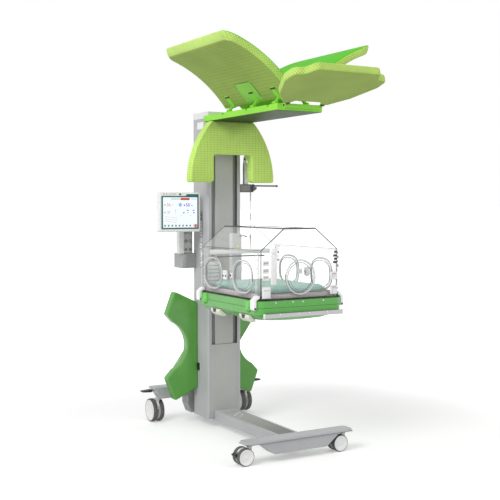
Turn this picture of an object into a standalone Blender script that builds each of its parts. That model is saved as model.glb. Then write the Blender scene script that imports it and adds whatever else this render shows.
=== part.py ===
"""Infant incubator: a heated bed under a clear hood, carried on a column with casters,
with a folding light canopy of three padded petals above it.

Metres, +Z up, front of the incubator towards -Y. The origin is on the floor under the
middle of the whole machine.
"""
import math

import bmesh
import bpy
from mathutils import Matrix, Vector

# Clearances
GAP = 0.0003
PIN_PLAY = 0.0005

# Column: a C-shaped extrusion with two open slots in its front
COLUMN_WIDTH = 0.230
COLUMN_DEPTH = 0.200
COLUMN_FRONT = 0.446
COLUMN_FOOT = 0.055
COLUMN_TOP = 1.945
COLUMN_CORNER = 0.008
COLUMN_HALF = COLUMN_WIDTH / 2
COLUMN_REAR = COLUMN_FRONT + COLUMN_DEPTH
MAST_WALL = 0.006
CAP_HEIGHT = 0.043
MAST_TOP = COLUMN_TOP - CAP_HEIGHT
MAST_LIP = 0.025
SLOT_WIDTH = 0.028
SLOT_OUTER = COLUMN_HALF - MAST_LIP
SLOT_INNER = SLOT_OUTER - SLOT_WIDTH
PANEL_SETBACK = 0.004
PANEL_THICK = 0.012
COVER_TOP = 0.515
COVER_PROUD = 0.003
COVER_THICK = 0.008

# Wheels, whose heights the crossbars follow
FRONT_WHEEL_RADIUS = 0.048
REAR_WHEEL_RADIUS = 0.073
FRONT_HEADROOM = 0.015
REAR_HEADROOM = 0.009

# Base: a beam between two crossbars
BEAM_WIDTH = 0.145
BEAM_HALF = BEAM_WIDTH / 2
BEAM_BOTTOM = 0.045
BEAM_TOP = 0.108
BEAM_GROOVE_WIDTH = 0.110
BEAM_GROOVE_DEPTH = 0.004
FRONT_BAR_Y = -0.3865
FRONT_BAR_HALF = 0.345
FRONT_BAR_DEPTH = 0.095
FRONT_BAR_PLATE = 0.014
FRONT_BAR_TOP = 2 * FRONT_WHEEL_RADIUS + FRONT_HEADROOM + FRONT_BAR_PLATE
FRONT_BAR_END_RADIUS = 0.030
SKIRT_TOP_HALF = 0.255
SKIRT_FOOT_HALF = 0.168
SKIRT_WALL = 0.004
REAR_BAR_DEPTH = 0.090
REAR_BAR_SETBACK = 0.060
REAR_BAR_Y = COLUMN_REAR + REAR_BAR_SETBACK + REAR_BAR_DEPTH / 2
REAR_BAR_TOP_HALF = 0.360
REAR_BAR_TAPER = 0.048
REAR_BAR_FOOT_HALF = REAR_BAR_TOP_HALF - REAR_BAR_TAPER
REAR_BAR_BOTTOM = 2 * REAR_WHEEL_RADIUS + REAR_HEADROOM
REAR_BAR_HEIGHT = 0.073
REAR_BAR_TOP = REAR_BAR_BOTTOM + REAR_BAR_HEIGHT
GUSSET_HALF = 0.126
GUSSET_KNEE = 0.106
GUSSET_FOOT_HALF = 0.102

# Casters
FRONT_PIVOT_INSET = 0.042
FRONT_PIVOT_X = FRONT_BAR_HALF - FRONT_PIVOT_INSET
FRONT_TRAIL = 0.036
REAR_PIVOT_INSET = 0.040
REAR_PIVOT_X = REAR_BAR_TOP_HALF - REAR_PIVOT_INSET
REAR_TRAIL = 0.040
WHEEL_HALF_WIDTH = 0.0375
WHEEL_HALF_SPACE = 0.008
AXLE_RADIUS = 0.005
FORK_HALF_THICK = 0.005
SWIVEL_RADIUS = 0.020
PEDAL_PIN_RADIUS = 0.003
FRONT_PEDAL_AXIS = 0.0895
FRONT_PEDAL_LENGTH = 0.0105
FRONT_PEDAL_REACH = FRONT_PEDAL_AXIS + FRONT_PEDAL_LENGTH
FRONT_PEDAL_LIFT = 0.013
FRONT_PEDAL_HEIGHT = FRONT_WHEEL_RADIUS + FRONT_PEDAL_LIFT
REAR_PEDAL_OUTSET = 0.008
REAR_PEDAL_AXIS = REAR_BAR_TOP_HALF + REAR_PEDAL_OUTSET
REAR_PEDAL_LENGTH = 0.062
REAR_PEDAL_REACH = REAR_PEDAL_AXIS + REAR_PEDAL_LENGTH
REAR_PEDAL_DROP = 0.023
REAR_PEDAL_HEIGHT = REAR_BAR_TOP - REAR_PEDAL_DROP
PEDAL_HALF_WIDTH = 0.018

# Wings beside the column and the brace behind it
WING_MIDDLE = 0.500
WING_THICK = 0.060
WING_ROOT_HALF = 0.267
WING_TIP_REACH = 0.157
WING_TIP_X = COLUMN_HALF + WING_TIP_REACH
WING_TIP_HALF = 0.342
WING_SHOULDER_REACH = 0.211
WING_SHOULDER_X = COLUMN_HALF + WING_SHOULDER_REACH
WING_SHOULDER_HALF = 0.198
NOTCH_REACH = 0.237
NOTCH_CENTRE_X = COLUMN_HALF + NOTCH_REACH
NOTCH_RADIUS = 0.165
NOTCH_ANGLE = 64.0
WING_EDGE_RADIUS = 0.008
BRACE_ANGLE = 54.5
BRACE_CENTRE_X = 0.040
BRACE_WIDTH = 0.310
BRACE_LOW = 0.330
BRACE_HIGH = 0.300
BRACE_THICK = 0.020

# Bed
BED_Y = -0.074
TUB_HALF_X = 0.270
TUB_HALF_Y = 0.360
TUB_CORNER = 0.050
TUB_REAR = BED_Y + TUB_HALF_Y
TUB_FRONT = BED_Y - TUB_HALF_Y
TUB_BOTTOM = 0.790
TUB_DEPTH = 0.078
TUB_TOP = TUB_BOTTOM + TUB_DEPTH
TUB_WALL = 0.008
TUB_FLOOR = 0.006
SEAM_HEIGHT = 0.0375
SEAM_DEPTH = 0.002
PAN_DEPTH = 0.043
PAN_BOTTOM = TUB_BOTTOM - PAN_DEPTH
PAN_INSET = 0.008
DECK_INSET_X = 0.045
DECK_INSET_Y = 0.060
DECK_HALF_X = TUB_HALF_X - DECK_INSET_X
DECK_HALF_Y = TUB_HALF_Y - DECK_INSET_Y
DECK_RISE = 0.004
DECK_BOTTOM = TUB_TOP + DECK_RISE
DECK_THICK = 0.025
DECK_TOP = DECK_BOTTOM + DECK_THICK
TILT_RADIUS = 0.015
TILT_CLEAR = 0.019
TILT_AXIS_HEIGHT = TUB_BOTTOM + TUB_FLOOR + TILT_RADIUS + TILT_CLEAR
TILT_HALF_WIDTH = 0.100
MATTRESS_INSET = 0.010
MATTRESS_THICK = 0.038

# Hood
HOOD_INSET_X = 0.026
HOOD_INSET_Y = 0.027
HOOD_FRONT = TUB_FRONT + HOOD_INSET_Y
HOOD_REAR = TUB_REAR - HOOD_INSET_Y
HOOD_HALF = TUB_HALF_X - HOOD_INSET_X
EAVE_RISE = 0.266
HOOD_EAVE = TUB_TOP + EAVE_RISE
HOOD_ROOF_HALF = 0.100
ROOF_RISE = 0.116
HOOD_ROOF = HOOD_EAVE + ROOF_RISE
HOOD_WALL = 0.006
WINDOW_FRONT_INSET = 0.045
WINDOW_FRONT = HOOD_FRONT + WINDOW_FRONT_INSET
WINDOW_REAR_INSET = 0.041
WINDOW_REAR = HOOD_REAR - WINDOW_REAR_INSET
WINDOW_TOP_DROP = 0.014
WINDOW_TOP = HOOD_EAVE - WINDOW_TOP_DROP

# Side panels, their arms and hand ports
SIDE_FRONT_INSET = 0.008
SIDE_FRONT = HOOD_FRONT + SIDE_FRONT_INSET
SIDE_REAR_INSET = 0.005
SIDE_REAR = HOOD_REAR - SIDE_REAR_INSET
SIDE_RISE = 0.004
SIDE_BOTTOM = TUB_TOP + SIDE_RISE
SIDE_TOP_DROP = 0.006
SIDE_TOP = HOOD_EAVE - SIDE_TOP_DROP
SIDE_THICK = 0.006
SIDE_INNER = HOOD_HALF + GAP
SIDE_OUTER = SIDE_INNER + SIDE_THICK
ARM_WIDTH = 0.040
ARM_FRONT_INSET = 0.019
ARM_FRONT_Y = HOOD_FRONT + ARM_FRONT_INSET
ARM_REAR_INSET = 0.016
ARM_REAR_Y = HOOD_REAR - ARM_REAR_INSET
ARM_THICK = 0.012
ARM_TOP_RISE = 0.002
ARM_TOP = SIDE_TOP + ARM_TOP_RISE
FOOT_CLEAR = 0.0006
FOOT_THICK = 0.018
HINGE_X = TUB_HALF_X + FOOT_CLEAR + FOOT_THICK / 2
HINGE_DROP = 0.040
HINGE_HEIGHT = TUB_TOP - HINGE_DROP
HINGE_PIN_RADIUS = 0.004
BOSS_RADIUS = 0.022
BOSS_SPACING = 0.062
PORT_HALF_WIDTH = 0.093
PORT_HALF_HEIGHT = 0.076
PORT_SILL = 0.039
PORT_HEIGHT = SIDE_BOTTOM + PORT_SILL + PORT_HALF_HEIGHT
PORT_SPACING = 0.340
PORT_MIDDLE_SHIFT = 0.011
PORT_MIDDLE = BED_Y + PORT_MIDDLE_SHIFT
PORT_FRONT_Y = PORT_MIDDLE - PORT_SPACING / 2
PORT_REAR_Y = PORT_MIDDLE + PORT_SPACING / 2
PORT_SQUARENESS = 2.6
RING_WIDTH = 0.007
RING_HEIGHT = 0.005
DOOR_OVERLAP = 0.015
DOOR_THICK = 0.006
DOOR_PIN_RADIUS = 0.0025
DOOR_KNUCKLE_RADIUS = 0.0055
DOOR_KNUCKLE_HALF = 0.018
DOOR_HINGE_SET = 0.001
LATCH_HALF_WIDTH = 0.020
LATCH_HALF_HEIGHT = 0.026
LATCH_THICK = 0.012
LATCH_STEM_RADIUS = 0.006
FRONT_PORT_X = 0.0
FRONT_PORT_HALF = 0.080

# Rail, tilt handles, carriage and sensor tower
RAIL_HALF = 0.250
RAIL_HEIGHT = 0.024
RAIL_RISE = 0.001
RAIL_MIDDLE = TUB_BOTTOM + RAIL_RISE
RAIL_THICK = 0.010
RAIL_STANDOFF = 0.014
RAIL_BOSSES = (-0.155, -0.035, 0.030, 0.147)
RAIL_BOSS_RADIUS = 0.006
HANDLE_LENGTH = 0.105
HANDLE_REAR_Y = 0.056
HANDLE_FRONT_Y = -0.275
CRADLE_THICK = 0.020
CRADLE_HALF = 0.140
CRADLE_BELOW_PAN = 0.002
CRADLE_BOTTOM = PAN_BOTTOM - CRADLE_BELOW_PAN
CRADLE_BELOW_RIM = 0.008
CRADLE_TOP = TUB_TOP - CRADLE_BELOW_RIM
CARRIAGE_RISE = 0.020
CARRIAGE_BOTTOM = CRADLE_BOTTOM + CARRIAGE_RISE
ARM_PLAY = 0.0005
CARRIAGE_REACH = 0.044
CARRIAGE_REAR = COLUMN_FRONT + CARRIAGE_REACH
TOWER_HALF = 0.034
TOWER_DEPTH = 0.036
TOWER_HEIGHT = 0.344
TOWER_TOP = CRADLE_TOP + TOWER_HEIGHT

# Canopy
BRIDGE_HALF = 0.145
BRIDGE_FRONT = -0.404
BRIDGE_DROP = 0.067
BRIDGE_BOTTOM = COLUMN_TOP - BRIDGE_DROP
BRIDGE_THICK = 0.037
BRIDGE_TOP = BRIDGE_BOTTOM + BRIDGE_THICK
PETAL_OVERHANG = 0.020
PETAL_FRONT = BRIDGE_FRONT - PETAL_OVERHANG
PETAL_LENGTH = 0.740
PETAL_REAR = PETAL_FRONT + PETAL_LENGTH
PETAL_AXIS_INSET = 0.045
PETAL_AXIS_RISE = 0.012
PETAL_AXIS_X = BRIDGE_HALF - PETAL_AXIS_INSET
PETAL_AXIS_Z = BRIDGE_TOP + PETAL_AXIS_RISE
PETAL_INNER_RADIUS = 0.765
PETAL_THICK = 0.048
PETAL_ROOT_INSET = 0.020
PETAL_ROOT_X = PETAL_AXIS_X - PETAL_ROOT_INSET
PETAL_ROOT_RISE = 0.038
PETAL_ROOT_Z = PETAL_AXIS_Z + PETAL_ROOT_RISE
ARCH_SETBACK = 0.015
ARCH_FRONT = PETAL_REAR + ARCH_SETBACK
ARCH_THICK = 0.065
ARCH_FOOT_HALF = 0.287
ARCH_HEIGHT = 0.366
ARCH_FOOT = BRIDGE_BOTTOM - ARCH_HEIGHT
ARCH_BULGE = 0.038
ARCH_NOTCH_CLEAR = 0.015
ARCH_NOTCH_HALF = COLUMN_HALF + ARCH_NOTCH_CLEAR
ARCH_NOTCH_HEIGHT = 0.168
ARCH_NOTCH_TOP = ARCH_FOOT + ARCH_NOTCH_HEIGHT
PETAL_ROOT_SLOPE = 51.4
PETAL_TIP_SLOPE_INNER = 17.0
PETAL_TIP_SLOPE_OUTER = 14.4
PETAL_HINGES = (-0.310, -0.074, 0.200)
PETAL_FOLD = 105.0
RELIEF_PLAY = 0.001
ARM_GRIP_DEPTH = 0.014
ARM_GRIP_ANGLE = 3.6
HINGE_EYE_RADIUS = 0.010
PETAL_PIN_RADIUS = 0.005
HINGE_ARM_WIDTH = 0.020
LUG_WIDTH = 0.008
FRONT_AXIS_REACH = 0.028
FRONT_AXIS_Y = BRIDGE_FRONT - FRONT_AXIS_REACH
FRONT_AXIS_DROP = 0.012
FRONT_AXIS_Z = BRIDGE_TOP - FRONT_AXIS_DROP
FRONT_TILT = 16.5
FRONT_PETAL_THICK = 0.043
FRONT_ROOT_SETBACK = 0.024
FRONT_ROOT_HALF = 0.140
FRONT_WAIST_HALF = 0.225
FRONT_WAIST_AT = 0.130
FRONT_FLARE_HALF = 0.290
FRONT_FLARE_AT = 0.290
FRONT_SHOULDER_AT = 0.378
FRONT_SHOULDER_HALF = 0.225
FRONT_TONGUE_AT = 0.451
FRONT_TONGUE_HALF = 0.190
FRONT_ARM_X = 0.110

# Monitor
BRACKET_WIDTH = 0.0985
BRACKET_SETBACK = 0.160
BRACKET_FRONT = COLUMN_FRONT + BRACKET_SETBACK
BRACKET_DEPTH = 0.116
BRACKET_BOTTOM = 0.982
BRACKET_HEIGHT = 0.092
BRACKET_TOP = BRACKET_BOTTOM + BRACKET_HEIGHT
POST_WIDTH = 0.035
POST_OUTSET = 0.088
POST_RIGHT = -COLUMN_HALF - POST_OUTSET
POST_LEFT = POST_RIGHT - POST_WIDTH
POST_HEIGHT = 0.261
POST_TOP = BRACKET_TOP + POST_HEIGHT
TILT_FORWARD = 0.034
TILT_Y = BRACKET_FRONT - TILT_FORWARD
TILT_DROP = 0.015
TILT_Z = POST_TOP - TILT_DROP
SCREEN_PIN_RADIUS = 0.005
SCREEN_EYE_RADIUS = 0.012
SCREEN_WIDTH = 0.2735
SCREEN_HEIGHT = 0.2386
SCREEN_OUTSET = 0.028
SCREEN_RIGHT = -COLUMN_HALF - SCREEN_OUTSET
SCREEN_LEFT = SCREEN_RIGHT - SCREEN_WIDTH
SCREEN_FORWARD = 0.076
SCREEN_FRONT = TILT_Y - SCREEN_FORWARD
SCREEN_DEPTH = 0.040
SCREEN_DROP = 0.1066
SCREEN_BOTTOM = TILT_Z - SCREEN_DROP
SCREEN_TOP = SCREEN_BOTTOM + SCREEN_HEIGHT
SCREEN_CORNER = 0.012
SOCKETS_OUTSET = 0.025
SOCKETS_RIGHT = -COLUMN_HALF - SOCKETS_OUTSET
SOCKETS_HEIGHT = 0.188
SOCKETS_TOP = BRACKET_TOP + SOCKETS_HEIGHT
SWIVEL_INSET = 0.003
SWIVEL_X = POST_RIGHT + SWIVEL_INSET
SWIVEL_SETBACK = 0.030
SWIVEL_Y = BRACKET_FRONT + SWIVEL_SETBACK

# Hook bracket on the right of the column, with its bottle and drop line
HOOK_SETBACK = 0.030
HOOK_Y = COLUMN_FRONT + HOOK_SETBACK
HOOK_BOTTOM = 1.455
HOOK_HEIGHT = 0.050
HOOK_TOP = HOOK_BOTTOM + HOOK_HEIGHT
HOOK_LENGTH = 0.121
HOOK_END = COLUMN_HALF + HOOK_LENGTH
HOOK_HALF_DEPTH = 0.020
HOOK_AXIS_INSET = 0.014
HOOK_AXIS_X = HOOK_END - HOOK_AXIS_INSET
HOOK_SWING = 0.178
HOOK_REACH = HOOK_AXIS_X + HOOK_SWING
HOOK_ROD_RADIUS = 0.005
BOTTLE_OUTSET = 0.0515
BOTTLE_X = COLUMN_HALF + BOTTLE_OUTSET
BOTTLE_RADIUS = 0.0175
BOTTLE_HEIGHT = 0.180
DROP_INSET = 0.0194
DROP_X = HOOK_AXIS_X - DROP_INSET
DROP_END = 1.190
DROP_RADIUS = 0.0015
WEIGHT_LENGTH = 0.095
WEIGHT_RADIUS = 0.006

# Switch on the left of the column
SWITCH_SETBACK = 0.123
SWITCH_Y = COLUMN_FRONT + SWITCH_SETBACK
SWITCH_Z = 0.3665
SWITCH_HALF_Y = 0.0125
SWITCH_HALF_Z = 0.0225
SWITCH_THICK = 0.009

# Finishes: colour, roughness, metallic
GREY_PAINT = ((0.46, 0.46, 0.45), 0.45, 0.0)
LIGHT_PAINT = ((0.55, 0.55, 0.54), 0.45, 0.0)
DARK_METAL = ((0.10, 0.10, 0.10), 0.45, 0.6)
WHITE_PLASTIC = ((0.86, 0.86, 0.86), 0.35, 0.0)
BLACK_PLASTIC = ((0.03, 0.03, 0.03), 0.45, 0.0)
WING_GREEN = ((0.10, 0.31, 0.05), 0.40, 0.0)
TUB_GREEN = ((0.12, 0.40, 0.06), 0.38, 0.0)
LIME_FOAM = ((0.44, 0.72, 0.13), 0.75, 0.0)
CLEAR_ACRYLIC = ((0.92, 0.94, 0.95), 0.05, 0.0)
TEAL_FABRIC = ((0.38, 0.62, 0.56), 0.80, 0.0)
DECK_GREY = ((0.50, 0.46, 0.47), 0.45, 0.0)
ALUMINIUM = ((0.60, 0.59, 0.60), 0.35, 0.7)
RUBBER_GREY = ((0.12, 0.12, 0.12), 0.65, 0.0)


def clear_scene():
    """Start from an empty scene."""
    for item in list(bpy.data.objects):
        bpy.data.objects.remove(item, do_unlink=True)


def add_object(name, bm, finish):
    """Turn a bmesh into a named object with a material of its own."""
    bmesh.ops.recalc_face_normals(bm, faces=bm.faces)
    mesh = bpy.data.meshes.new(name)
    bm.to_mesh(mesh)
    bm.free()
    part = bpy.data.objects.new(name, mesh)
    bpy.context.collection.objects.link(part)
    colour, roughness, metallic = finish
    material = bpy.data.materials.new(name)
    material.use_nodes = True
    shader = material.node_tree.nodes["Principled BSDF"]
    shader.inputs["Base Color"].default_value = (*colour, 1.0)
    shader.inputs["Roughness"].default_value = roughness
    shader.inputs["Metallic"].default_value = metallic
    mesh.materials.append(material)
    mesh.shade_smooth()
    mesh.set_sharp_from_angle(angle=math.radians(30))
    return part


def bake(part):
    """Replace an object's mesh by its evaluated one, modifiers applied."""
    bpy.context.view_layer.update()
    graph = bpy.context.evaluated_depsgraph_get()
    mesh = bpy.data.meshes.new_from_object(part.evaluated_get(graph))
    part.modifiers.clear()
    part.data = mesh
    mesh.set_sharp_from_angle(angle=math.radians(30))


def combine(part, operation, tools):
    """Cut from or fuse to an object the tools given, which are then removed."""
    for tool in tools:
        modifier = part.modifiers.new(tool.name, "BOOLEAN")
        modifier.operation = operation
        modifier.solver = "EXACT"
        modifier.object = tool
        bake(part)
        bpy.data.objects.remove(tool, do_unlink=True)
    return part


def cut(part, *tools):
    """Cut tools from a part."""
    return combine(part, "DIFFERENCE", tools)


def fuse(part, *tools):
    """Fuse tools to a part."""
    return combine(part, "UNION", tools)


def soften(part, width, segments=2, angle=50.0):
    """Round the edges that are sharper than an angle."""
    modifier = part.modifiers.new("edges", "BEVEL")
    modifier.width = width
    modifier.segments = segments
    modifier.limit_method = "ANGLE"
    modifier.angle_limit = math.radians(angle)
    bake(part)
    return part


def arc(centre, radius, start, end, steps):
    """Points along an arc, angles in degrees, both ends included."""
    points = []
    for i in range(steps + 1):
        angle = math.radians(start + (end - start) * i / steps)
        points.append((centre[0] + radius * math.cos(angle), centre[1] + radius * math.sin(angle)))
    return points


def rounded(corners, steps=4):
    """An outline from (u, v, radius) corners, each rounded by an arc of its radius."""
    outline = []
    count = len(corners)
    for i, (u, v, radius) in enumerate(corners):
        here = Vector((u, v))
        if radius <= 0:
            outline.append((u, v))
            continue
        back = (Vector(corners[i - 1][:2]) - here).normalized()
        ahead = (Vector(corners[(i + 1) % count][:2]) - here).normalized()
        half = back.angle(ahead) / 2
        reach = radius / math.tan(half)
        centre = here + (back + ahead).normalized() * (radius / math.sin(half))
        first = here + back * reach - centre
        turn = first.angle_signed(here + ahead * reach - centre)
        for k in range(steps + 1):
            angle = -turn * k / steps
            spun = Matrix.Rotation(angle, 2) @ first
            outline.append(tuple(centre + spun))
    return outline


def rounded_box(half_u, half_v, radius, centre=(0.0, 0.0), steps=4):
    """A rectangle with four round corners."""
    u, v = centre
    return rounded([(u - half_u, v - half_v, radius), (u + half_u, v - half_v, radius),
                    (u + half_u, v + half_v, radius), (u - half_u, v + half_v, radius)], steps)


def prism(name, outline, axis, low, high, finish):
    """A flat outline extruded along an axis."""
    w = "XYZ".index(axis)
    u, v = [i for i in range(3) if i != w]
    bm = bmesh.new()
    corners = []
    for a, b in outline:
        place = [0.0, 0.0, 0.0]
        place[u], place[v], place[w] = a, b, low
        corners.append(bm.verts.new(place))
    face = bm.faces.new(corners)
    made = bmesh.ops.extrude_face_region(bm, geom=[face])
    lift = [0.0, 0.0, 0.0]
    lift[w] = high - low
    moved = [item for item in made["geom"] if isinstance(item, bmesh.types.BMVert)]
    bmesh.ops.translate(bm, vec=lift, verts=moved)
    return add_object(name, bm, finish)


def block(name, xs, ys, zs, finish, edge=0.0, segments=2):
    """A box between the given limits, its edges rounded where asked."""
    low = Vector((min(xs), min(ys), min(zs)))
    high = Vector((max(xs), max(ys), max(zs)))
    bm = bmesh.new()
    place = Matrix.Translation((low + high) / 2) @ Matrix.Diagonal((*(high - low), 1.0))
    bmesh.ops.create_cube(bm, size=1.0, matrix=place)
    if edge > 0:
        bmesh.ops.bevel(bm, geom=bm.edges[:], offset=edge, segments=segments, profile=0.5,
                        affect="EDGES")
    return add_object(name, bm, finish)


def turned(name, profile, centre, axis, finish, steps=20):
    """A profile of (radius, distance along the axis) spun round the axis through a centre."""
    along = {"X": Vector((1, 0, 0)), "Y": Vector((0, 1, 0)), "Z": Vector((0, 0, 1))}[axis]
    side = Vector((1, 0, 0)) if axis == "Z" else Vector((0, 0, 1))
    bm = bmesh.new()
    points = [bm.verts.new(Vector(centre) + side * r + along * t) for r, t in profile]
    edges = [bm.edges.new(pair) for pair in zip(points, points[1:])]
    bmesh.ops.spin(bm, geom=points + edges, cent=centre, axis=along, steps=steps,
                   angle=math.tau, use_duplicate=False)
    bmesh.ops.remove_doubles(bm, verts=bm.verts, dist=1e-6)
    return add_object(name, bm, finish)


def rod(name, centre, axis, radius, low, high, finish=DARK_METAL, steps=16):
    """A plain round bar along an axis, between two places on that axis."""
    start = list(centre)
    start["XYZ".index(axis)] = 0.0
    return turned(name, [(0.0, low), (radius, low), (radius, high), (0.0, high)], start, axis,
                  finish, steps)


def loft(name, rings, finish):
    """A closed solid through rings of points, capped at both ends."""
    bm = bmesh.new()
    loops = [[bm.verts.new(point) for point in ring] for ring in rings]
    for lower, upper in zip(loops, loops[1:]):
        for i in range(len(lower)):
            j = (i + 1) % len(lower)
            bm.faces.new((lower[i], lower[j], upper[j], upper[i]))
    bm.faces.new(loops[0][::-1])
    bm.faces.new(loops[-1])
    return add_object(name, bm, finish)


def place(part, matrix):
    """Move an object's mesh by a matrix."""
    part.data.transform(matrix)
    return part


def pivot(name, at, parent=None):
    """An empty on a joint's axis."""
    empty = bpy.data.objects.new(name, None)
    bpy.context.collection.objects.link(empty)
    empty["world"] = tuple(at)
    start = Vector(parent["world"]) if parent else Vector((0, 0, 0))
    empty.location = Vector(at) - start
    empty.parent = parent
    return empty


def hang(empty, *parts):
    """Put parts under the empty of the joint that they turn or slide on."""
    for part in parts:
        part.parent = empty
        part.location = -Vector(empty["world"])


def build_base():
    """The beam and the two crossbars that carry the casters."""
    back = FRONT_BAR_Y + FRONT_BAR_DEPTH / 2
    front = FRONT_BAR_Y - FRONT_BAR_DEPTH / 2
    plate_bottom = FRONT_BAR_TOP - FRONT_BAR_PLATE
    lap = 0.002
    bar = prism("front_crossbar", rounded_box(FRONT_BAR_HALF, FRONT_BAR_DEPTH / 2,
                FRONT_BAR_END_RADIUS, (0.0, FRONT_BAR_Y), 5), "Z", plate_bottom, FRONT_BAR_TOP,
                GREY_PAINT)
    soften(bar, 0.003, 2)
    skirt = prism("skirt", [(-SKIRT_TOP_HALF, plate_bottom + lap),
                            (-SKIRT_FOOT_HALF, BEAM_BOTTOM), (SKIRT_FOOT_HALF, BEAM_BOTTOM),
                            (SKIRT_TOP_HALF, plate_bottom + lap)],
                  "Y", front + 0.005, back, GREY_PAINT)
    inside = SKIRT_FOOT_HALF - SKIRT_WALL
    hollow = prism("hollow", [(-SKIRT_TOP_HALF + 3 * SKIRT_WALL, plate_bottom - SKIRT_WALL),
                              (-inside, BEAM_BOTTOM), (-inside, BEAM_BOTTOM - 0.01),
                              (inside, BEAM_BOTTOM - 0.01), (inside, BEAM_BOTTOM),
                              (SKIRT_TOP_HALF - 3 * SKIRT_WALL, plate_bottom - SKIRT_WALL)],
                   "Y", front + 0.005 + SKIRT_WALL, back - SKIRT_WALL, GREY_PAINT)
    fuse(bar, skirt)
    cut(bar, hollow)

    rear_front = REAR_BAR_Y - REAR_BAR_DEPTH / 2
    rear_back = REAR_BAR_Y + REAR_BAR_DEPTH / 2
    outline = [(-REAR_BAR_TOP_HALF, REAR_BAR_TOP, 0.006), (-REAR_BAR_FOOT_HALF, REAR_BAR_BOTTOM, 0),
               (-GUSSET_HALF, REAR_BAR_BOTTOM, 0), (-GUSSET_HALF, GUSSET_KNEE, 0),
               (-GUSSET_FOOT_HALF, BEAM_BOTTOM, 0), (GUSSET_FOOT_HALF, BEAM_BOTTOM, 0),
               (GUSSET_HALF, GUSSET_KNEE, 0), (GUSSET_HALF, REAR_BAR_BOTTOM, 0),
               (REAR_BAR_FOOT_HALF, REAR_BAR_BOTTOM, 0), (REAR_BAR_TOP_HALF, REAR_BAR_TOP, 0.006)]
    rear = prism("rear_crossbar", rounded(outline), "Y", rear_front, rear_back, GREY_PAINT)
    soften(rear, 0.004, 2)
    eye = REAR_BAR_TOP_HALF - REAR_PEDAL_AXIS
    for side in (-1, 1):
        tip = arc((REAR_PEDAL_AXIS, REAR_PEDAL_HEIGHT), 0.006, -90, 90, 6)
        root = [(REAR_BAR_FOOT_HALF + 0.02, REAR_PEDAL_HEIGHT + 0.006),
                (REAR_BAR_FOOT_HALF + 0.02, REAR_PEDAL_HEIGHT - 0.006)]
        lug = prism("lug", [(side * x, z) for x, z in tip + root], "Y",
                    REAR_BAR_Y - FORK_HALF_THICK, REAR_BAR_Y + FORK_HALF_THICK, GREY_PAINT)
        fuse(rear, lug)
        hole = rod("hole", (side * REAR_PEDAL_AXIS, 0, REAR_PEDAL_HEIGHT), "Y",
                   PEDAL_PIN_RADIUS + PIN_PLAY, REAR_BAR_Y - 0.02, REAR_BAR_Y + 0.02)
        cut(rear, hole)

    beam = block("base_beam", (-BEAM_HALF, BEAM_HALF), (back + GAP, rear_front - GAP),
                 (BEAM_BOTTOM, BEAM_TOP), GREY_PAINT, 0.003, 1)
    groove = block("groove", (-BEAM_GROOVE_WIDTH / 2, BEAM_GROOVE_WIDTH / 2),
                   (back - 0.02, COLUMN_FRONT - 0.09),
                   (BEAM_TOP - BEAM_GROOVE_DEPTH, BEAM_TOP + 0.01), GREY_PAINT)
    cut(beam, groove)


def build_column():
    """The mast, its panels and cap, and the mains switch."""
    half, front, rear, c, wall = COLUMN_HALF, COLUMN_FRONT, COLUMN_REAR, COLUMN_CORNER, MAST_WALL
    outline = [(-SLOT_OUTER, front), (-half + c, front), (-half, front + c), (-half, rear - c),
               (-half + c, rear), (half - c, rear), (half, rear - c), (half, front + c),
               (half - c, front), (SLOT_OUTER, front), (SLOT_OUTER, front + wall),
               (half - wall, front + wall), (half - wall, rear - wall),
               (-half + wall, rear - wall), (-half + wall, front + wall),
               (-SLOT_OUTER, front + wall)]
    mast = prism("column_mast", outline, "Z", COLUMN_FOOT, MAST_TOP, LIGHT_PAINT)
    doorway = block("doorway", (-BEAM_HALF - GAP, BEAM_HALF + GAP), (rear - 0.02, rear + 0.02),
                    (COLUMN_FOOT - 0.02, BEAM_TOP + GAP), LIGHT_PAINT)
    cut(mast, doorway)

    block("column_cap", (-half, half), (front, rear), (MAST_TOP + GAP, COLUMN_TOP),
          WHITE_PLASTIC, 0.005)
    block("column_front_panel", (-SLOT_INNER, SLOT_INNER),
          (front + PANEL_SETBACK, front + PANEL_SETBACK + PANEL_THICK),
          (COVER_TOP + GAP, MAST_TOP), GREY_PAINT, 0.002, 1)
    cover = block("column_lower_cover", (-SLOT_OUTER + GAP, SLOT_OUTER - GAP),
                  (front - COVER_PROUD, front - COVER_PROUD + COVER_THICK),
                  (COLUMN_FOOT, COVER_TOP), GREY_PAINT, 0.002, 1)
    gate = block("gate", (-BEAM_HALF - GAP, BEAM_HALF + GAP), (front - 0.05, front + 0.05),
                 (COLUMN_FOOT - 0.02, BEAM_TOP + GAP), GREY_PAINT)
    cut(cover, gate)

    ridge = -half - GAP
    edge = ridge - 0.0025
    face = ridge - SWITCH_THICK
    rocker = prism("mains_switch", [(ridge, SWITCH_Z), (edge, SWITCH_Z + SWITCH_HALF_Z),
                                    (face, SWITCH_Z + SWITCH_HALF_Z), (face - 0.001, SWITCH_Z),
                                    (face, SWITCH_Z - SWITCH_HALF_Z),
                                    (edge, SWITCH_Z - SWITCH_HALF_Z)],
                   "Y", SWITCH_Y - SWITCH_HALF_Y, SWITCH_Y + SWITCH_HALF_Y, WHITE_PLASTIC)
    hang(pivot("switch_axis", (ridge, SWITCH_Y, SWITCH_Z)), rocker)


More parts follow.
